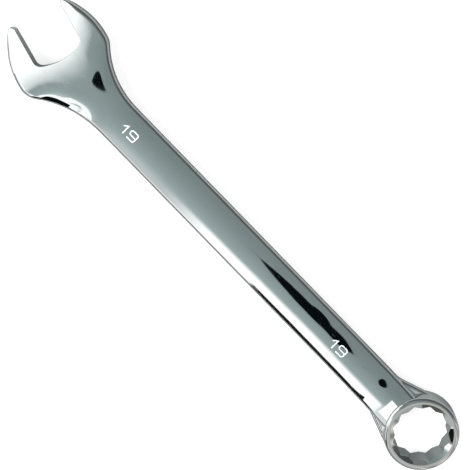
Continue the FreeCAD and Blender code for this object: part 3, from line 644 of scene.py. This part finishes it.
def socket_tree():
    """Cuts the points of the socket and its lead-in cones: one hexagonal
    cutter is repeated round the axis, then two cones open its mouths."""
    tree = new_tree("Twelve Point Socket", [
        ("Flats", "NodeSocketFloat", 0.019), ("Height", "NodeSocketFloat", 0.012),
        ("Tilt", "NodeSocketFloat", 0.26), ("Lead Radius", "NodeSocketFloat", 0.012),
        ("Lead Depth", "NodeSocketFloat", 0.001), ("Turns", "NodeSocketInt", 2),
        ("Finish", "NodeSocketMaterial", None)])
    start = node(tree, "NodeGroupInput").outputs
    corner = maths(tree, "DIVIDE", start["Flats"], math.sqrt(3))
    tall = maths(tree, "MULTIPLY", start["Height"], CUTTER_REACH)
    prism = node(tree, "GeometryNodeMeshCylinder", {"Vertices": 6, "Radius": corner, "Depth": tall},
                 fill_type="NGON")
    dots = node(tree, "GeometryNodeMeshLine", {"Count": start["Turns"], "Offset": (0, 0, 0)})
    number = node(tree, "GeometryNodeInputIndex").outputs[0]
    step = maths(tree, "DIVIDE", math.pi / 3, start["Turns"])
    angle = maths(tree, "MULTIPLY", number, step)
    spin = node(tree, "ShaderNodeCombineXYZ", {"Z": angle}).outputs[0]
    place = node(tree, "GeometryNodeInstanceOnPoints",
                 {"Points": dots.outputs[0], "Instance": prism.outputs["Mesh"], "Rotation": spin})
    points = node(tree, "GeometryNodeRealizeInstances", {0: place.outputs[0]})
    slope = maths(tree, "SUBTRACT", start["Lead Radius"], maths(tree, "DIVIDE", start["Flats"], 2.0))
    reach = maths(tree, "ADD", start["Lead Radius"], slope)
    low = maths(tree, "DIVIDE", start["Flats"], 2.0)
    deep = maths(tree, "MULTIPLY", start["Lead Depth"], 2.0)
    base = maths(tree, "SUBTRACT", maths(tree, "DIVIDE", start["Height"], 2.0), start["Lead Depth"])
    cone = node(tree, "GeometryNodeMeshCone",
                {"Vertices": CONE_SIDES, "Radius Top": reach, "Radius Bottom": low, "Depth": deep},
                fill_type="NGON")
    lift = node(tree, "ShaderNodeCombineXYZ", {"Z": base}).outputs[0]
    upper = node(tree, "GeometryNodeTransform", {0: cone.outputs["Mesh"], "Translation": lift})
    lower = node(tree, "GeometryNodeTransform",
                 {0: upper.outputs[0], "Rotation": (math.pi, 0, 0)})
    lean = node(tree, "ShaderNodeCombineXYZ", {"Y": start["Tilt"]}).outputs[0]
    result = start["Geometry"]
    for cutter in (points, upper, lower):
        leant = node(tree, "GeometryNodeTransform", {0: cutter.outputs[0], "Rotation": lean})
        cut = node(tree, "GeometryNodeMeshBoolean", {"Mesh 1": result, "Mesh 2": leant.outputs[0]},
                   operation="DIFFERENCE", solver="EXACT")
        cut.inputs["Self Intersection"].default_value = cutter is points
        result = cut.outputs["Mesh"]
    return end_tree(tree, result, start["Finish"])


def stroke_tree():
    """Turns the numbers' lines into strokes: corners are rounded, and each
    line becomes an upright bar with closed ends."""
    tree = new_tree("Number Strokes", [
        ("Stroke", "NodeSocketFloat", 0.0005), ("Tall", "NodeSocketFloat", 0.001),
        ("Corner", "NodeSocketFloat", 0.0009), ("Finish", "NodeSocketMaterial", None)])
    start = node(tree, "NodeGroupInput").outputs
    lines = node(tree, "GeometryNodeMeshToCurve", {"Mesh": start["Geometry"]})
    soft = node(tree, "GeometryNodeFilletCurve", {"Curve": lines.outputs[0], "Count": 7,
                                                  "Radius": start["Corner"], "Limit Radius": True},
                mode="POLY")
    upright = node(tree, "GeometryNodeSetCurveNormal", {"Curve": soft.outputs[0]}, mode="Z_UP")
    profile = node(tree, "GeometryNodeCurvePrimitiveQuadrilateral",
                   {"Width": start["Stroke"], "Height": start["Tall"]}, mode="RECTANGLE")
    bars = node(tree, "GeometryNodeCurveToMesh", {"Curve": upright.outputs[0],
                                                  "Profile Curve": profile.outputs[0],
                                                  "Fill Caps": True})
    return end_tree(tree, bars.outputs[0], start["Finish"])


def number_lines(s, m):
    """Middle lines of both numbers, as loose edges on the crown."""
    h, w, half = m.height, m.width, m.stroke / 2
    stem, left, right = m.flag + half, m.pitch + half, m.pitch + w - half
    lines = [[(stem, 0.0), (stem, h)], [(stem, h - half), (0.1, h - m.drop)],
             [(left, half), (right, half), (right, h - half), (left, h - half),
              (left, m.waist), (right, m.waist)]]
    top = crown_heights(s)[0]
    points, edges = [], []
    for start in (JAW_CENTRE[0] + m.by_jaw, -m.by_ring):
        level = top(start + (m.pitch + w) / 2, 0.0) - m.depth
        for line in lines:
            first = len(points)
            points += [((start + x) * MM, (y - h / 2) * MM, level * MM) for x, y in line]
            edges += [(first + k, first + k + 1) for k in range(len(line) - 1)]
    mesh = bpy.data.meshes.new("number_lines")
    mesh.from_pydata(points, edges, [])
    return mesh


def keep_result(obj, modifier):
    """Turns what a modifier makes into the object's own mesh."""
    bpy.context.view_layer.update()
    depsgraph = bpy.context.evaluated_depsgraph_get()
    mesh = bpy.data.meshes.new_from_object(obj.evaluated_get(depsgraph),
                                           preserve_all_data_layers=True, depsgraph=depsgraph)
    obj.modifiers.remove(modifier)
    old, name = obj.data, obj.data.name
    obj.data = mesh
    bpy.data.meshes.remove(old)
    mesh.name = name


def run_tree(obj, tree, values):
    """Runs a tree on an object, with the named inputs' values."""
    modifier = obj.modifiers.new(tree.name, "NODES")
    modifier.node_group = tree
    for item in tree.interface.items_tree:
        if item.in_out == "INPUT" and item.name in values:
            modifier[item.identifier] = values[item.name]
    keep_result(obj, modifier)


def combine(obj, other, operation):
    """Boolean of two closed meshes, kept in obj with both finishes; the other
    object is used up."""
    modifier = obj.modifiers.new("combine", "BOOLEAN")
    modifier.operation, modifier.solver, modifier.object = operation, "EXACT", other
    modifier.material_mode = "TRANSFER"
    modifier.use_self = operation == "DIFFERENCE"
    keep_result(obj, modifier)
    other_mesh = other.data
    bpy.data.objects.remove(other)
    bpy.data.meshes.remove(other_mesh)


def new_object(name, data):
    """Object in the scene, at the origin."""
    obj = bpy.data.objects.new(name, data)
    bpy.context.scene.collection.objects.link(obj)
    return obj


def clean_and_check(obj):
    """Drops the slivers that booleans leave, and stops the build where the
    mesh is empty, open or inside out."""
    bm = bmesh.new()
    bm.from_mesh(obj.data)
    sliver = 0.0001 * MM
    bmesh.ops.remove_doubles(bm, verts=bm.verts, dist=sliver)
    bmesh.ops.dissolve_degenerate(bm, edges=bm.edges, dist=sliver)
    gaps = sum(1 for edge in bm.edges if not edge.is_manifold)
    volume = bm.calc_volume(signed=True)
    bm.to_mesh(obj.data)
    bm.free()
    if gaps or volume <= 0.0:
        raise RuntimeError(f"{obj.name}: {gaps} open edges, volume {volume}")


def shade(obj, r):
    """Gives each corner its true normal. Faces cut by the socket have none
    yet: those on a lead-in cone get the cone's, and the rest stay flat."""
    mesh = obj.data
    stored = np.zeros(len(mesh.loops) * 3, np.float32)
    mesh.attributes["true_normal"].data.foreach_get("vector", stored)
    stored = stored.reshape(-1, 3)
    axis, like_cone = RING_AXIS, 0.02
    run = r.lead_radius - r.flats / 2
    cone_n = np.array([-r.lead_depth, run]) / math.hypot(r.lead_depth, run)
    normals = []
    for face in mesh.polygons:
        centre = np.array(face.center) / MM
        side = math.copysign(1.0, float(np.dot(centre, axis)))
        flat_n = np.array(face.normal)
        on_cone = abs(float(np.dot(flat_n, axis)) * side - cone_n[1]) < like_cone
        for k in face.loop_indices:
            n = stored[k]
            size = float(np.linalg.norm(n))
            if size > 0.5:
                normals.append(n / size)
                continue
            if on_cone and np.linalg.norm(centre) < r.outer:
                p = np.array(mesh.vertices[mesh.loops[k].vertex_index].co)
                radial = p - np.dot(p, axis) * axis
                radial /= np.linalg.norm(radial)
                normals.append(radial * cone_n[0] + axis * side * cone_n[1])
            else:
                normals.append(flat_n)
    for face in mesh.polygons:
        face.use_smooth = True
    mesh.normals_split_custom_set([tuple(float(x) for x in n) for n in normals])
    mesh.attributes.remove(mesh.attributes["true_normal"])


# ---------------------------------------------------------------- finishes
def shader_group(name, inputs, outputs):
    """Shader node group with named inputs and outputs; returns it with the
    sockets that its inputs arrive at."""
    group = bpy.data.node_groups.new(name, "ShaderNodeTree")
    for label, kind, default in inputs:
        group.interface.new_socket(label, in_out="INPUT", socket_type=kind).default_value = default
    for label, kind in outputs:
        group.interface.new_socket(label, in_out="OUTPUT", socket_type=kind)
    return group, node(group, "NodeGroupInput").outputs


def handling_group():
    """Marks that handling leaves on metal: hairline scratches along and across
    the shank, soft smudges, and the slow waviness of hand polishing."""
    group, start = shader_group(
        "Handling", [("Scratch Scale", "NodeSocketFloat", 90.0), ("Smudge Scale", "NodeSocketFloat", 55.0)],
        [("Scratches", "NodeSocketFloat"), ("Smudges", "NodeSocketFloat"), ("Waves", "NodeSocketFloat")])
    place = node(group, "ShaderNodeTexCoord").outputs["Object"]
    marks = []
    for turn, stretch in ((0.10, 55.0), (-0.35, 38.0), (1.25, 45.0)):
        turned = node(group, "ShaderNodeMapping", {"Vector": place, "Rotation": (0, 0, turn),
                                                   "Scale": (1.0, stretch, 6.0)})
        noise = node(group, "ShaderNodeTexNoise",
                     {"Vector": turned.outputs[0], "Scale": start["Scratch Scale"], "Detail": 3.0,
                      "Roughness": 0.65})
        marks.append(fade(group, noise.outputs[0], 0.66, 0.74))
    scratches = maths(group, "MAXIMUM", maths(group, "MAXIMUM", marks[0], marks[1]), marks[2])
    blotch = node(group, "ShaderNodeTexNoise", {"Vector": place, "Scale": start["Smudge Scale"],
                                                "Detail": 4.0, "Roughness": 0.6, "Distortion": 0.8})
    smudges = fade(group, blotch.outputs[0], 0.45, 0.72)
    slow = node(group, "ShaderNodeMapping", {"Vector": place, "Scale": (45.0, 110.0, 60.0)})
    waves = node(group, "ShaderNodeTexNoise", {"Vector": slow.outputs[0], "Scale": 1.0, "Detail": 1.0})
    node(group, "NodeGroupOutput", {"Scratches": scratches, "Smudges": smudges,
                                    "Waves": waves.outputs[0]})
    return group


def use_group(tree, name, build, values):
    """Places a shader group in a material, building it the first time."""
    made = tree.nodes.new("ShaderNodeGroup")
    made.node_tree = bpy.data.node_groups.get(name) or build()
    for key, value in values.items():
        made.inputs[key].default_value = value
    return made.outputs


def new_material(name):
    """Material with its node tree and its Principled shader."""
    material = bpy.data.materials.new(name)
    material.use_nodes = True
    return material, material.node_tree, material.node_tree.nodes["Principled BSDF"]


def chrome_material(f):
    """Polished chrome plate: almost a mirror, with a little haze where it has
    been handled, hairlines, and a slow waviness that bends reflections."""
    material, tree, shader = new_material("polished_chrome")
    wear = use_group(tree, "Handling", handling_group, {"Scratch Scale": 90.0, "Smudge Scale": 55.0})
    hazy = [0.97 * c for c in f.chrome]
    colour = blend_colour(tree, wear["Smudges"], f.chrome, hazy)
    tree.links.new(colour, shader.inputs["Base Color"])
    haze = maths(tree, "MULTIPLY", wear["Smudges"], 0.015)
    lines = maths(tree, "MULTIPLY", wear["Scratches"], f.scratches * 0.3)
    rough = maths(tree, "ADD", maths(tree, "ADD", haze, lines), f.roughness)
    tree.links.new(rough, shader.inputs["Roughness"])
    bend = node(tree, "ShaderNodeBump", {"Height": wear["Waves"], "Strength": 1.0, "Distance": f.waviness})
    groove = node(tree, "ShaderNodeBump", {"Height": wear["Scratches"], "Strength": f.scratches,
                                           "Distance": 0.000004, "Normal": bend.outputs[0]}, invert=True)
    tree.links.new(groove.outputs[0], shader.inputs["Normal"])
    shader.inputs["Metallic"].default_value = 1.0
    return material


def frost_material(f):
    """Blasted floor of the stamped numbers, with its fine grain."""
    material, tree, shader = new_material("frosted_number")
    wear = use_group(tree, "Handling", handling_group, {"Scratch Scale": 160.0, "Smudge Scale": 220.0})
    place = node(tree, "ShaderNodeTexCoord").outputs["Object"]
    grain = node(tree, "ShaderNodeTexNoise", {"Vector": place, "Scale": 9000.0, "Detail": 2.0}).outputs[0]
    tree.links.new(blend_colour(tree, wear["Smudges"], f.frost, [0.8 * c for c in f.frost]),
                   shader.inputs["Base Color"])
    tree.links.new(maths(tree, "ADD", maths(tree, "MULTIPLY", grain, 0.2), 0.45),
                   shader.inputs["Roughness"])
    pits = node(tree, "ShaderNodeBump", {"Height": grain, "Strength": 0.4, "Distance": 0.00003})
    tree.links.new(pits.outputs[0], shader.inputs["Normal"])
    shader.inputs["Metallic"].default_value = 0.1
    return material


# ---------------------------------------------------------------- operators
class WRENCH_OT_forging(bpy.types.Operator):
    """Make the shank with its open end"""
    bl_idname = "wrench.forging"
    bl_label = "Shank and open end"

    def execute(self, context):
        new_object("wrench", build_forging(in_mm(context.scene.wrench_forging)))
        return {"FINISHED"}


class WRENCH_OT_ring(bpy.types.Operator):
    """Join the webs and the ring, and cut the socket"""
    bl_idname = "wrench.ring"
    bl_label = "Ring end"

    def execute(self, context):
        scene = context.scene
        s, r, f = in_mm(scene.wrench_forging), in_mm(scene.wrench_ring), scene.wrench_finish
        wrench = bpy.data.objects["wrench"]
        combine(wrench, new_object("webs", build_webs(s, r)), "UNION")
        combine(wrench, new_object("ring", build_ring(r)), "UNION")
        run_tree(wrench, socket_tree(), {
            "Flats": r.flats * MM, "Height": r.height * MM, "Tilt": r.tilt,
            "Lead Radius": r.lead_radius * MM, "Lead Depth": r.lead_depth * MM,
            "Turns": 2, "Finish": chrome_material(f)})
        return {"FINISHED"}


class WRENCH_OT_numbers(bpy.types.Operator):
    """Sink the plain size numbers into the crown"""
    bl_idname = "wrench.numbers"
    bl_label = "Numbers"

    def execute(self, context):
        scene = context.scene
        m, tall = in_mm(scene.wrench_marks), 1.2
        strokes = new_object("strokes", number_lines(in_mm(scene.wrench_forging), m))
        run_tree(strokes, stroke_tree(), {
            "Stroke": m.stroke * MM, "Tall": tall * MM, "Corner": m.corner * MM,
            "Finish": frost_material(scene.wrench_finish)})
        for vertex in strokes.data.vertices:
            vertex.co.z += tall / 2 * MM
        combine(bpy.data.objects["wrench"], strokes, "DIFFERENCE")
        return {"FINISHED"}


class WRENCH_OT_finish(bpy.types.Operator):
    """Shade the wrench and let it stand for the forged body"""
    bl_idname = "wrench.finish"
    bl_label = "Finish"

    def execute(self, context):
        wrench = bpy.data.objects["wrench"]
        clean_and_check(wrench)
        shade(wrench, in_mm(context.scene.wrench_ring))
        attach(wrench, "root")
        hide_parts("wrench_body")
        return {"FINISHED"}


# ---------------------------------------------------------------- stage
CEILING, WALL, FLOOR = 0.45, -0.33, CAD_BOX[0][2] - 0.0002
BACK, OPEN_END, RING_END = 0.38, -0.33, 0.45
FAR_LEFT, FAR_RIGHT, SCREEN_TOP = -1.0, 0.7, 0.40
FLOOR_REACH = 3.0
SHEEN = (0.84, 1.0, 0.99)       # tint of the grey studio ceiling
WHITE = (1.3, 1.3, 1.29)        # softboxes


def bare_material(name):
    """Material with an empty node tree."""
    material = bpy.data.materials.new(name)
    material.use_nodes = True
    material.node_tree.nodes.clear()
    return material, material.node_tree


def glow(name, paint):
    """Material of a studio card. paint(tree, x, y, z) gives its colour, and
    how solid the card is there."""
    material, tree = bare_material(name)
    place = node(tree, "ShaderNodeTexCoord").outputs["Object"]
    parts = node(tree, "ShaderNodeSeparateXYZ", {0: place}).outputs
    colour, solid = paint(tree, parts["X"], parts["Y"], parts["Z"])
    light = node(tree, "ShaderNodeEmission", {"Color": colour, "Strength": 1.0})
    clear = node(tree, "ShaderNodeBsdfTransparent")
    both = node(tree, "ShaderNodeMixShader", {0: solid, 1: clear.outputs[0], 2: light.outputs[0]})
    node(tree, "ShaderNodeOutputMaterial", {"Surface": both.outputs[0]})
    return material


def card(name, corners, material):
    """A studio card. The camera doesn't see it, and it casts no shadow."""
    mesh = bpy.data.meshes.new(name)
    mesh.from_pydata(corners, [], [list(range(len(corners)))])
    mesh.materials.append(material)
    obj = new_object(name, mesh)
    obj.visible_camera = False
    obj.visible_shadow = False


def ceiling_paint(tree, x, y, z):
    """Grey, paler towards one side, with a warm patch that the webs mirror
    and a white end beyond the open jaw."""
    slope = node(tree, "ShaderNodeMapRange", {0: y, 1: 0.12, 2: -0.15, 3: 0.0, 4: 1.0}).outputs[0]
    slope = maths(tree, "POWER", slope, 1.6)
    colour = blend_colour(tree, slope, [0.27 * c for c in SHEEN], [0.46 * c for c in SHEEN])
    web = maths(tree, "MULTIPLY", fade(tree, x, -0.012, -0.004), fade(tree, y, -0.035, -0.042))
    colour = blend_colour(tree, web, colour, (0.52, 0.51, 0.48))
    colour = blend_colour(tree, fade(tree, y, -0.13, -0.24), colour, (0.60, 0.63, 0.63))
    end = maths(tree, "MULTIPLY", fade(tree, x, -0.275, -0.285), fade(tree, y, -0.020, -0.030))
    return blend_colour(tree, end, colour, WHITE), 1.0


def side_softbox_paint(tree, x, y, z):
    """White softbox beside the shank, with a soft inner edge, and the top of
    the dark doorway behind it."""
    line = maths(tree, "SUBTRACT", y, maths(tree, "MULTIPLY", x, 0.2))
    solid = maths(tree, "MULTIPLY", fade(tree, line, -0.047, -0.073), fade(tree, x, -0.135, -0.104))
    dark = maths(tree, "MULTIPLY", fade(tree, y, -0.117, -0.119), door_span(tree, x))
    return blend_colour(tree, dark, WHITE, (0.010, 0.010, 0.009)), solid


def door_span(tree, x):
    """1 along the dark doorway beside the shank."""
    return maths(tree, "MULTIPLY", fade(tree, x, -0.082, -0.078), fade(tree, x, 0.0, -0.006))


def wall_paint(tree, x, y, z):
    """White wall over a dark skirting, with a dark doorway at one end."""
    colour = blend_colour(tree, fade(tree, x, -0.17, -0.10), (0.80, 0.82, 0.81), (1.2, 1.2, 1.18))
    colour = blend_colour(tree, fade(tree, x, -0.01, 0.02), colour, (0.50, 0.52, 0.51))
    colour = blend_colour(tree, fade(tree, z, 0.13, 0.07), colour, (0.10, 0.095, 0.085))
    return blend_colour(tree, door_span(tree, x), colour, (0.014, 0.013, 0.011)), 1.0


def end_softbox_paint(tree, x, y, z):
    """White softbox hung low over the open end, with a soft bowed edge."""
    near = maths(tree, "MAXIMUM", maths(tree, "ADD", y, 0.031), 0.0)
    near = maths(tree, "MULTIPLY", maths(tree, "POWER", near, 2.0), 60.0)
    far = maths(tree, "MULTIPLY", fade(tree, y, -0.031, -0.053), 0.0080)
    line = maths(tree, "ADD", x, maths(tree, "ADD", near, far))
    solid = maths(tree, "POWER", fade(tree, line, -0.185, -0.2085), 1.4)
    return (*WHITE, 1.0), maths(tree, "MULTIPLY", solid, fade(tree, y, -0.004, -0.010))


def open_end_paint(tree, x, y, z):
    """White screen with a dark foot, beyond the open jaw."""
    return blend_colour(tree, fade(tree, z, 0.06, 0.02), (1.25, 1.25, 1.24), (0.30, 0.28, 0.26)), 1.0


def back_paint(tree, x, y, z):
    """Dark room behind, darker higher up."""
    return blend_colour(tree, fade(tree, z, 0.10, 0.30), (0.14, 0.145, 0.14), (0.07, 0.08, 0.08)), 1.0


def ring_end_paint(tree, x, y, z):
    """Uneven pale and grey bands beyond the ring."""
    place = node(tree, "ShaderNodeCombineXYZ", {"X": y, "Y": z}).outputs[0]
    bands = node(tree, "ShaderNodeTexWave", {"Vector": place, "Scale": 1.6, "Distortion": 1.0})
    return blend_colour(tree, bands.outputs["Fac"], (0.25, 0.25, 0.23), (0.75, 0.73, 0.68)), 1.0


def hollow_light_paint(tree, x, y, z):
    """Small white reflector over the far side of the neck."""
    return (1.2, 1.2, 1.19, 1.0), fade(tree, y, -0.0185, -0.0225)


def flag_paint(tree, x, y, z):
    """Black card."""
    return (0.002, 0.004, 0.005, 1.0), 1.0


def flag_corners(centre, radius, stretch, turn, point=0.0):
    """Outline of a level dark flag: an oval, drawn to a point on one side
    where point is above 0."""
    corners, count, narrowing = [], 40, 0.25
    for k in range(count):
        a = 2 * math.pi * k / count
        pull = 1.0 + point * max(math.cos(a), 0.0) ** 4
        u = radius * stretch * math.cos(a) * pull
        v = radius * math.sin(a) * (1.0 - narrowing * (pull - 1.0))
        corners.append((centre[0] + u * math.cos(turn) - v * math.sin(turn),
                        centre[1] + u * math.sin(turn) + v * math.cos(turn), centre[2]))
    return corners


# Dark flags: name, centre, radius, stretch, turn and how far it is pointed.
FLAGS = (("flag_shank", (-0.0515, 0.004, 0.449), 0.048, 0.47, math.pi, 0.45),
         ("flag_ramp", (-0.0542, 0.0085, 0.1), 0.0108, 0.57, 0.0, 0.0),
         ("flag_neck", (-0.1738, -0.0012, 0.1), 0.0090, 0.36, -0.52, 0.0))
# Low dark card beside the far side of the neck.
HOLLOW_FLAG = [(x, y, 0.014) for x, y in ((-0.181, -0.018), (-0.1738, -0.018), (-0.1722, -0.0235),
                                          (-0.1615, -0.065), (-0.181, -0.065))]


def rectangle(axis, level, u0, u1, v0, v1):
    """Corners of a card square to an axis."""
    corners = []
    for u, v in ((u0, v0), (u1, v0), (u1, v1), (u0, v1)):
        corners.append({"x": (level, u, v), "y": (u, level, v), "z": (u, v, level)}[axis])
    return corners


def floor_material():
    """Floor that shows white, keeps the wrench's shadow and is darker where
    the wrench mirrors it."""
    material, tree = bare_material("floor_paint")
    rays = node(tree, "ShaderNodeLightPath").outputs
    paint = blend_colour(tree, rays["Is Camera Ray"], (0.26, 0.27, 0.27), (0.54, 0.54, 0.53))
    matt = node(tree, "ShaderNodeBsdfDiffuse", {"Color": paint})
    lift = node(tree, "ShaderNodeEmission",
                {"Color": (1, 1, 1, 1), "Strength": maths(tree, "MULTIPLY", rays["Is Camera Ray"], 0.63)})
    both = node(tree, "ShaderNodeAddShader", {0: matt.outputs[0], 1: lift.outputs[0]})
    node(tree, "ShaderNodeOutputMaterial", {"Surface": both.outputs[0]})
    return material


def room():
    """World: white where seen, a dim room in reflections."""
    world = bpy.data.worlds.new("studio")
    bpy.context.scene.world = world
    world.use_nodes = True
    tree = world.node_tree
    tree.nodes.clear()
    seen = node(tree, "ShaderNodeBackground", {"Color": (1, 1, 1, 1), "Strength": 1.0})
    around = node(tree, "ShaderNodeBackground", {"Color": (0.20, 0.21, 0.205, 1), "Strength": 1.0})
    rays = node(tree, "ShaderNodeLightPath").outputs
    mix = node(tree, "ShaderNodeMixShader",
               {0: rays["Is Camera Ray"], 1: around.outputs[0], 2: seen.outputs[0]})
    node(tree, "ShaderNodeOutputWorld", {"Surface": mix.outputs[0]})


def lamp(name, place, size, power):
    """Soft lamp for the matt surfaces; the cards make the reflections."""
    target = Vector((-0.1, 0, 0))
    light = bpy.data.lights.new(name, "AREA")
    light.shape, light.size, light.energy = "SQUARE", size, power
    obj = new_object(name, light)
    obj.location = place
    obj.rotation_euler = (target - Vector(place)).to_track_quat("-Z", "Y").to_euler()
    obj.visible_glossy = False


def aim_camera(middle, distance, turn, tilt, lens):
    """Camera over the wrench, turned so that the wrench lies across the frame."""
    camera = bpy.data.cameras.new("camera")
    camera.lens, camera.sensor_width = lens, 36.0
    camera.clip_start, camera.clip_end = 0.1, 20.0
    eye = new_object("camera", camera)
    away = Vector((0, math.sin(tilt), math.cos(tilt)))
    across = Vector((0, math.cos(tilt), -math.sin(tilt)))
    along = Vector((1, 0, 0))
    right = math.cos(turn) * along + math.sin(turn) * across
    up = math.cos(turn) * across - math.sin(turn) * along
    aim = along * middle[0] + across * middle[1]
    matrix = Matrix((right, up, away)).transposed().to_4x4()
    matrix.translation = aim + away * distance
    eye.matrix_world = matrix
    bpy.context.scene.camera = eye


# Studio cards: name, the axis each is square to, its place on that axis,
# its span along the other two, and its paint.
CARDS = (
    ("ceiling", "z", CEILING, (FAR_LEFT, FAR_RIGHT, WALL, 0.21), ceiling_paint),
    ("wall", "y", WALL, (FAR_LEFT, FAR_RIGHT, FLOOR, CEILING), wall_paint),
    ("open_end", "x", OPEN_END, (WALL, 0.05, FLOOR, 0.22), open_end_paint),
    ("back", "y", BACK, (FAR_LEFT, FAR_RIGHT, FLOOR, SCREEN_TOP), back_paint),
    ("ring_end", "x", RING_END, (WALL, BACK, FLOOR, SCREEN_TOP), ring_end_paint),
    ("end_softbox", "z", 0.25, (-0.60, -0.18, WALL, 0.0), end_softbox_paint),
    ("side_softbox", "z", 0.20, (-0.14, 0.0, WALL, -0.04), side_softbox_paint))


class WRENCH_OT_stage(bpy.types.Operator):
    """Make the floor, the studio cards, the lamps, the world and the camera"""
    bl_idname = "wrench.stage"
    bl_label = "Studio"

    def execute(self, context):
        room()
        floor = bpy.data.meshes.new("floor")
        square = rectangle("z", FLOOR, -FLOOR_REACH, FLOOR_REACH, -FLOOR_REACH, FLOOR_REACH)
        floor.from_pydata(square, [], [(0, 1, 2, 3)])
        floor.materials.append(floor_material())
        new_object("floor", floor)
        for name, axis, level, span, paint in CARDS:
            card(name, rectangle(axis, level, *span), glow(name, paint))
        black = glow("flag", flag_paint)
        for name, *shape in FLAGS:
            card(name, flag_corners(*shape), black)
        card("flag_hollow", HOLLOW_FLAG, black)
        card("hollow_light", rectangle("z", 0.04, -0.1757, -0.1705, -0.060, -0.0185),
             glow("hollow_light", hollow_light_paint))
        lamp("key_lamp", place=(-0.5, -0.7, 1.5), size=1.0, power=30.0)
        lamp("fill_lamp", place=(0.4, 0.6, 1.6), size=1.2, power=22.0)
        aim_camera(middle=(-0.0996, 0.00125), distance=1.934, turn=0.79894,
                   tilt=math.radians(8.0), lens=400.0)
        context.scene.view_settings.view_transform = "Standard"
        return {"FINISHED"}


SETTINGS = {"wrench_forging": WRENCH_PG_forging, "wrench_ring": WRENCH_PG_ring,
            "wrench_marks": WRENCH_PG_marks, "wrench_finish": WRENCH_PG_finish}
STEPS = [("wrench.forging", "wrench_forging"), ("wrench.ring", "wrench_ring"),
         ("wrench.numbers", "wrench_marks"), ("wrench.finish", "wrench_finish"), ("wrench.stage", None)]


class WRENCH_PT_panel(bpy.types.Panel):
    """The steps in the order they are run, each with its settings"""
    bl_idname = "WRENCH_PT_panel"
    bl_label = "Combination wrench"
    bl_space_type = "VIEW_3D"
    bl_region_type = "UI"
    bl_category = "Wrench"

    def draw(self, context):
        for step, settings in STEPS:
            box = self.layout.box()
            box.operator(step)
            group = getattr(context.scene, settings) if settings else None
            for key in group.__annotations__ if group else ():
                box.prop(group, key)


CLASSES = [*SETTINGS.values(), WRENCH_OT_forging, WRENCH_OT_ring, WRENCH_OT_numbers,
           WRENCH_OT_finish, WRENCH_OT_stage, WRENCH_PT_panel]


def register():
    for cls in CLASSES:
        bpy.utils.register_class(cls)
    for name, group in SETTINGS.items():
        setattr(bpy.types.Scene, name, bpy.props.PointerProperty(type=group))


def unregister():
    for name in SETTINGS:
        delattr(bpy.types.Scene, name)
    for cls in reversed(CLASSES):
        bpy.utils.unregister_class(cls)


def main():
    """Makes the wrench and its studio."""
    register()
    bpy.ops.wrench.forging()
    bpy.ops.wrench.ring()
    bpy.ops.wrench.numbers()
    bpy.ops.wrench.finish()
    bpy.ops.wrench.stage()


if __name__ == "__main__":
    main()
